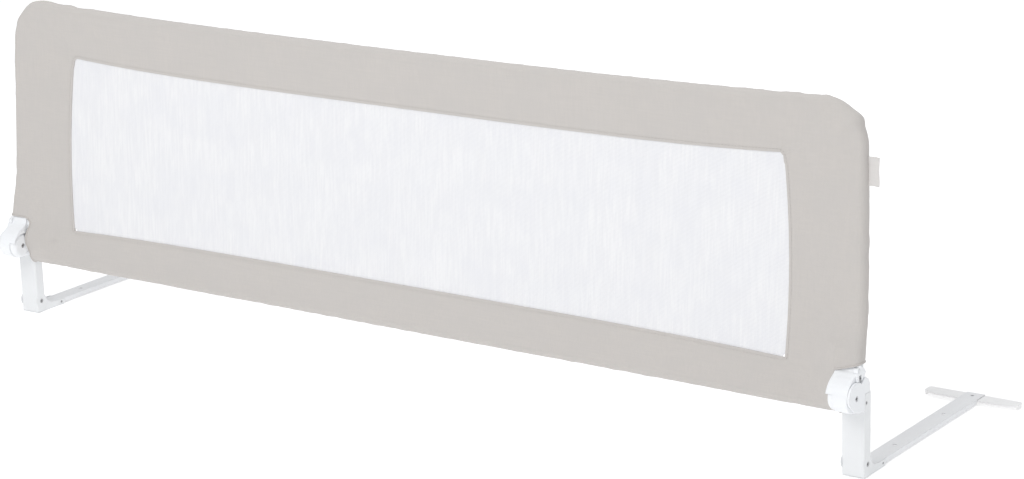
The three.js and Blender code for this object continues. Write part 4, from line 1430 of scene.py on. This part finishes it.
@dataclass
class Tag:
    """A small folded ribbon sewn into the right edge, with nothing on it."""

    panel: Panel
    wardrobe: Wardrobe
    width: float = 0.014
    height: float = 0.034
    bottom: float = 0.349
    ribbon: float = 0.00045
    fold_radius: float = 0.00062
    pinch: float = 0.55
    sewn_depth: float = 0.0006
    flat_steps: int = 7
    fold_steps: int = 6
    rows: int = 14
    smooth_angle: float = 50.0
    wave: float = 0.0005
    wave_turn: float = 2.2 * math.pi
    wave_start: float = 0.6
    curl: float = 0.0004
    curl_turn: float = 260.0

    def profile(self) -> list[Pair]:
        """Returns the ribbon's section, from its sewn front edge round the fold to the back one."""
        reach = self.width - self.fold_radius
        front = []
        for share in shares(self.flat_steps, whole=True):
            opening = self.pinch + (1 - self.pinch) * math.sin(math.pi * share / 2)
            front.append((reach * share, -self.fold_radius * opening))
        angles = [math.pi * (share - 0.5) for share in shares(self.fold_steps, first=1)]
        fold = [(reach + self.fold_radius * math.cos(a), self.fold_radius * math.sin(a)) for a in angles]
        return front + fold + [(x, -offset) for x, offset in reversed(front)]

    def row(self, share: float) -> list[Vector]:
        """Returns one row of the ribbon's points.

        Args:
            share: The row's share of the ribbon's height.

        Returns:
            The row's points.
        """
        z = self.bottom + self.height * share
        root = self.panel.side_at(z) - self.sewn_depth
        wave = self.wave * math.sin(self.wave_turn * share + self.wave_start) / self.width
        return [self.panel.point(root + x, z + self.curl * math.sin(x * self.curl_turn), offset + wave * x)
                for x, offset in self.profile()]

    def build(self) -> None:
        """Builds, dresses and places the ribbon, a loop that is open at its sewn end."""
        bm = bmesh.new()
        add_grid(bm, [self.row(share) for share in shares(self.rows, whole=True)])
        bmesh.ops.recalc_face_normals(bm, faces=bm.faces)
        bm.normal_update()
        bmesh.ops.solidify(bm, geom=bm.faces[:], thickness=self.ribbon)
        bmesh.ops.recalc_face_normals(bm, faces=bm.faces)
        piece = piece_from(bm, "edge_tag", self.smooth_angle)
        self.wardrobe.hang(piece, Slot.TAG_CLOTH)
        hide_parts("side_tag")


@dataclass
class LatchCap:
    """A small moulded cap on the neck's front over a latch's spring, as (depth, height) in metres."""

    wardrobe: Wardrobe
    shell: tuple[Pair, ...] = ((-0.01475, 0.13345), (-0.01425, 0.13383), (-0.01425, 0.13845),
                               (-0.01125, 0.13845), (-0.01104, 0.13885), (-0.01076, 0.1401),
                               (-0.0140, 0.1391), (-0.01475, 0.1383))
    cheek: tuple[Pair, ...] = ((-0.01475, 0.13345), (-0.01311, 0.13470), (-0.01104, 0.13885),
                               (-0.01076, 0.1401), (-0.0140, 0.1391), (-0.01475, 0.1383))
    inner: float = 0.6679
    outer: float = 0.6739
    wall: float = 0.00035

    @staticmethod
    def plate(bm: bmesh.types.BMesh, outline: Sequence[Pair], ends: Pair) -> None:
        """Adds one closed plate.

        Args:
            bm: The mesh that gets it.
            outline: Its outline across the rail.
            ends: Its two places along the rail.
        """
        sides = [[bm.verts.new((x, Panel.shift + y, z)) for y, z in outline] for x in ends]
        bm.faces.new(sides[0])
        bm.faces.new(list(reversed(sides[1])))
        for place in range(len(outline)):
            after = (place + 1) % len(outline)
            bm.faces.new((sides[0][place], sides[1][place], sides[1][after], sides[0][after]))

    def build(self, end: End) -> None:
        """Builds, dresses and places the cap of one hinge.

        Args:
            end: The rail's end.
        """
        bm = bmesh.new()
        near, far = self.inner + self.wall, self.outer - self.wall
        spans = ((self.shell, near, far), (self.cheek, self.inner, near), (self.cheek, far, self.outer))
        for outline, start, stop in spans:
            self.plate(bm, outline, (start * end.value, stop * end.value))
        bmesh.ops.recalc_face_normals(bm, faces=bm.faces)
        self.wardrobe.hang(piece_from(bm, f"{end.name.lower()}_latch_cap"), Slot.WHITE_PLASTIC)


@dataclass
class Hardware:
    """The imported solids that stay: posts, hinges, arms, tubes and fasteners."""

    wardrobe: Wardrobe
    soft_nodes: tuple[str, ...] = ("fabric_cover", "mesh_window", "side_tag")
    smooth_angle: float = 32.0

    def dress(self) -> None:
        """Gives every solid the finish of its slot in the record."""
        slots = {entry["node"]: Slot(entry["material_slot"]) for entry in frame["record"]["subparts"]}
        for name, piece in frame["nodes"].items():
            # the arms get a lighter copy of their coat, which is painted light; the cross feet get their own
            # paler paint
            self.wardrobe.dress(piece, slots[name], OWN_COATS_AND_LIT_COPY.get(name.partition("_")[2]))
            if name not in self.soft_nodes:
                shade_smooth(piece.data, self.smooth_angle)
            LOG.info("dressed %s as %s", name, slots[name].value)


@dataclass(frozen=True)
class Lamp:
    """A square soft light, with its power in watts."""

    name: str
    place: Triple
    target: Triple
    size: float
    power: float

    def build(self) -> None:
        """Adds the light, turned to its target."""
        data = bpy.data.lights.new(self.name, "AREA")
        data.size = self.size
        data.energy = self.power
        light = bpy.data.objects.new(self.name, data)
        turn = (Vector(self.target) - Vector(self.place)).to_track_quat("-Z", "Y").to_matrix().to_4x4()
        light.matrix_world = Matrix.Translation(Vector(self.place)) @ turn
        bpy.context.scene.collection.objects.link(light)


@dataclass
class Studio:
    """The photograph's camera, a plain pale floor and soft light."""

    position: Triple = (2.162968, -2.9478065, 1.19277)
    forward: Triple = (-0.55518379, 0.78607154, -0.27177656)
    right: Triple = (0.82108457, 0.57010062, -0.02837984)
    focal_pixels: float = 2878.663
    picture_width: float = 1024.0
    sensor: float = 36.0
    sight: float = 100.0
    floor_size: float = 60.0
    floor_drop: float = 0.0002
    surround_colour: Colour = (0.97, 0.985, 1.0, 1.0)
    surround_strength: float = 0.61
    lamps: tuple[Lamp, ...] = (Lamp("front_softbox", (0.0, -2.8, 2.9), (0.0, 0.0, 0.2), 2.0, 50.0),
                               Lamp("top_softbox", (0.3, 0.9, 3.4), (0.0, 0.2, 0.0), 3.0, 34.0))

    def camera(self) -> None:
        """Adds the camera that the photograph was fitted with."""
        data = bpy.data.cameras.new("photo_camera")
        data.sensor_width = self.sensor
        data.lens = self.focal_pixels * self.sensor / self.picture_width
        data.clip_end = self.sight
        eye = bpy.data.objects.new("photo_camera", data)
        forward = Vector(self.forward).normalized()
        right = (Vector(self.right) - forward * forward.dot(Vector(self.right))).normalized()
        turn = Matrix((right, right.cross(forward), -forward)).transposed().to_4x4()
        eye.matrix_world = Matrix.Translation(Vector(self.position)) @ turn
        bpy.context.scene.collection.objects.link(eye)
        bpy.context.scene.camera = eye

    def floor(self) -> None:
        """Adds the floor, a whisker under the rail's feet."""
        bm = bmesh.new()
        half = self.floor_size / 2
        corners = ((-half, -half), (half, -half), (half, half), (-half, half))
        bm.faces.new([bm.verts.new((x, y, -self.floor_drop)) for x, y in corners])
        floor = piece_from(bm, "studio_floor")
        floor.data.materials.append(PaleFloor("pale_floor", grey(0.92), 0.9).material())
        floor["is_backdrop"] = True

    def surround(self) -> None:
        """Lights the scene evenly from all round."""
        world = bpy.data.worlds.new("studio_surround")
        world.use_nodes = True
        background = world.node_tree.nodes["Background"]
        background.inputs["Color"].default_value = self.surround_colour
        background.inputs["Strength"].default_value = self.surround_strength
        bpy.context.scene.world = world

    def build(self) -> None:
        """Builds the whole studio."""
        bpy.context.scene.view_settings.view_transform = "Standard"
        self.camera()
        self.floor()
        self.surround()
        for lamp in self.lamps:
            lamp.build()


def main() -> None:
    """Builds every piece and works out the model's bounds before and after."""
    logging.basicConfig(level=logging.INFO, format="%(name)s: %(message)s")
    wardrobe = Wardrobe()
    panel = Panel()
    Studio().build()
    Hardware(wardrobe).dress()
    Cover(panel, wardrobe).build()
    NetWindow(panel, wardrobe).build()
    Tag(panel, wardrobe).build()
    for end in End:
        LatchCap(wardrobe).build(end)
    boxes = [[list(map(float, corner)) for corner in box] for box in (CAD_BOX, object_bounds())]
    LOG.info("size written")


if __name__ == "__main__":
    main()
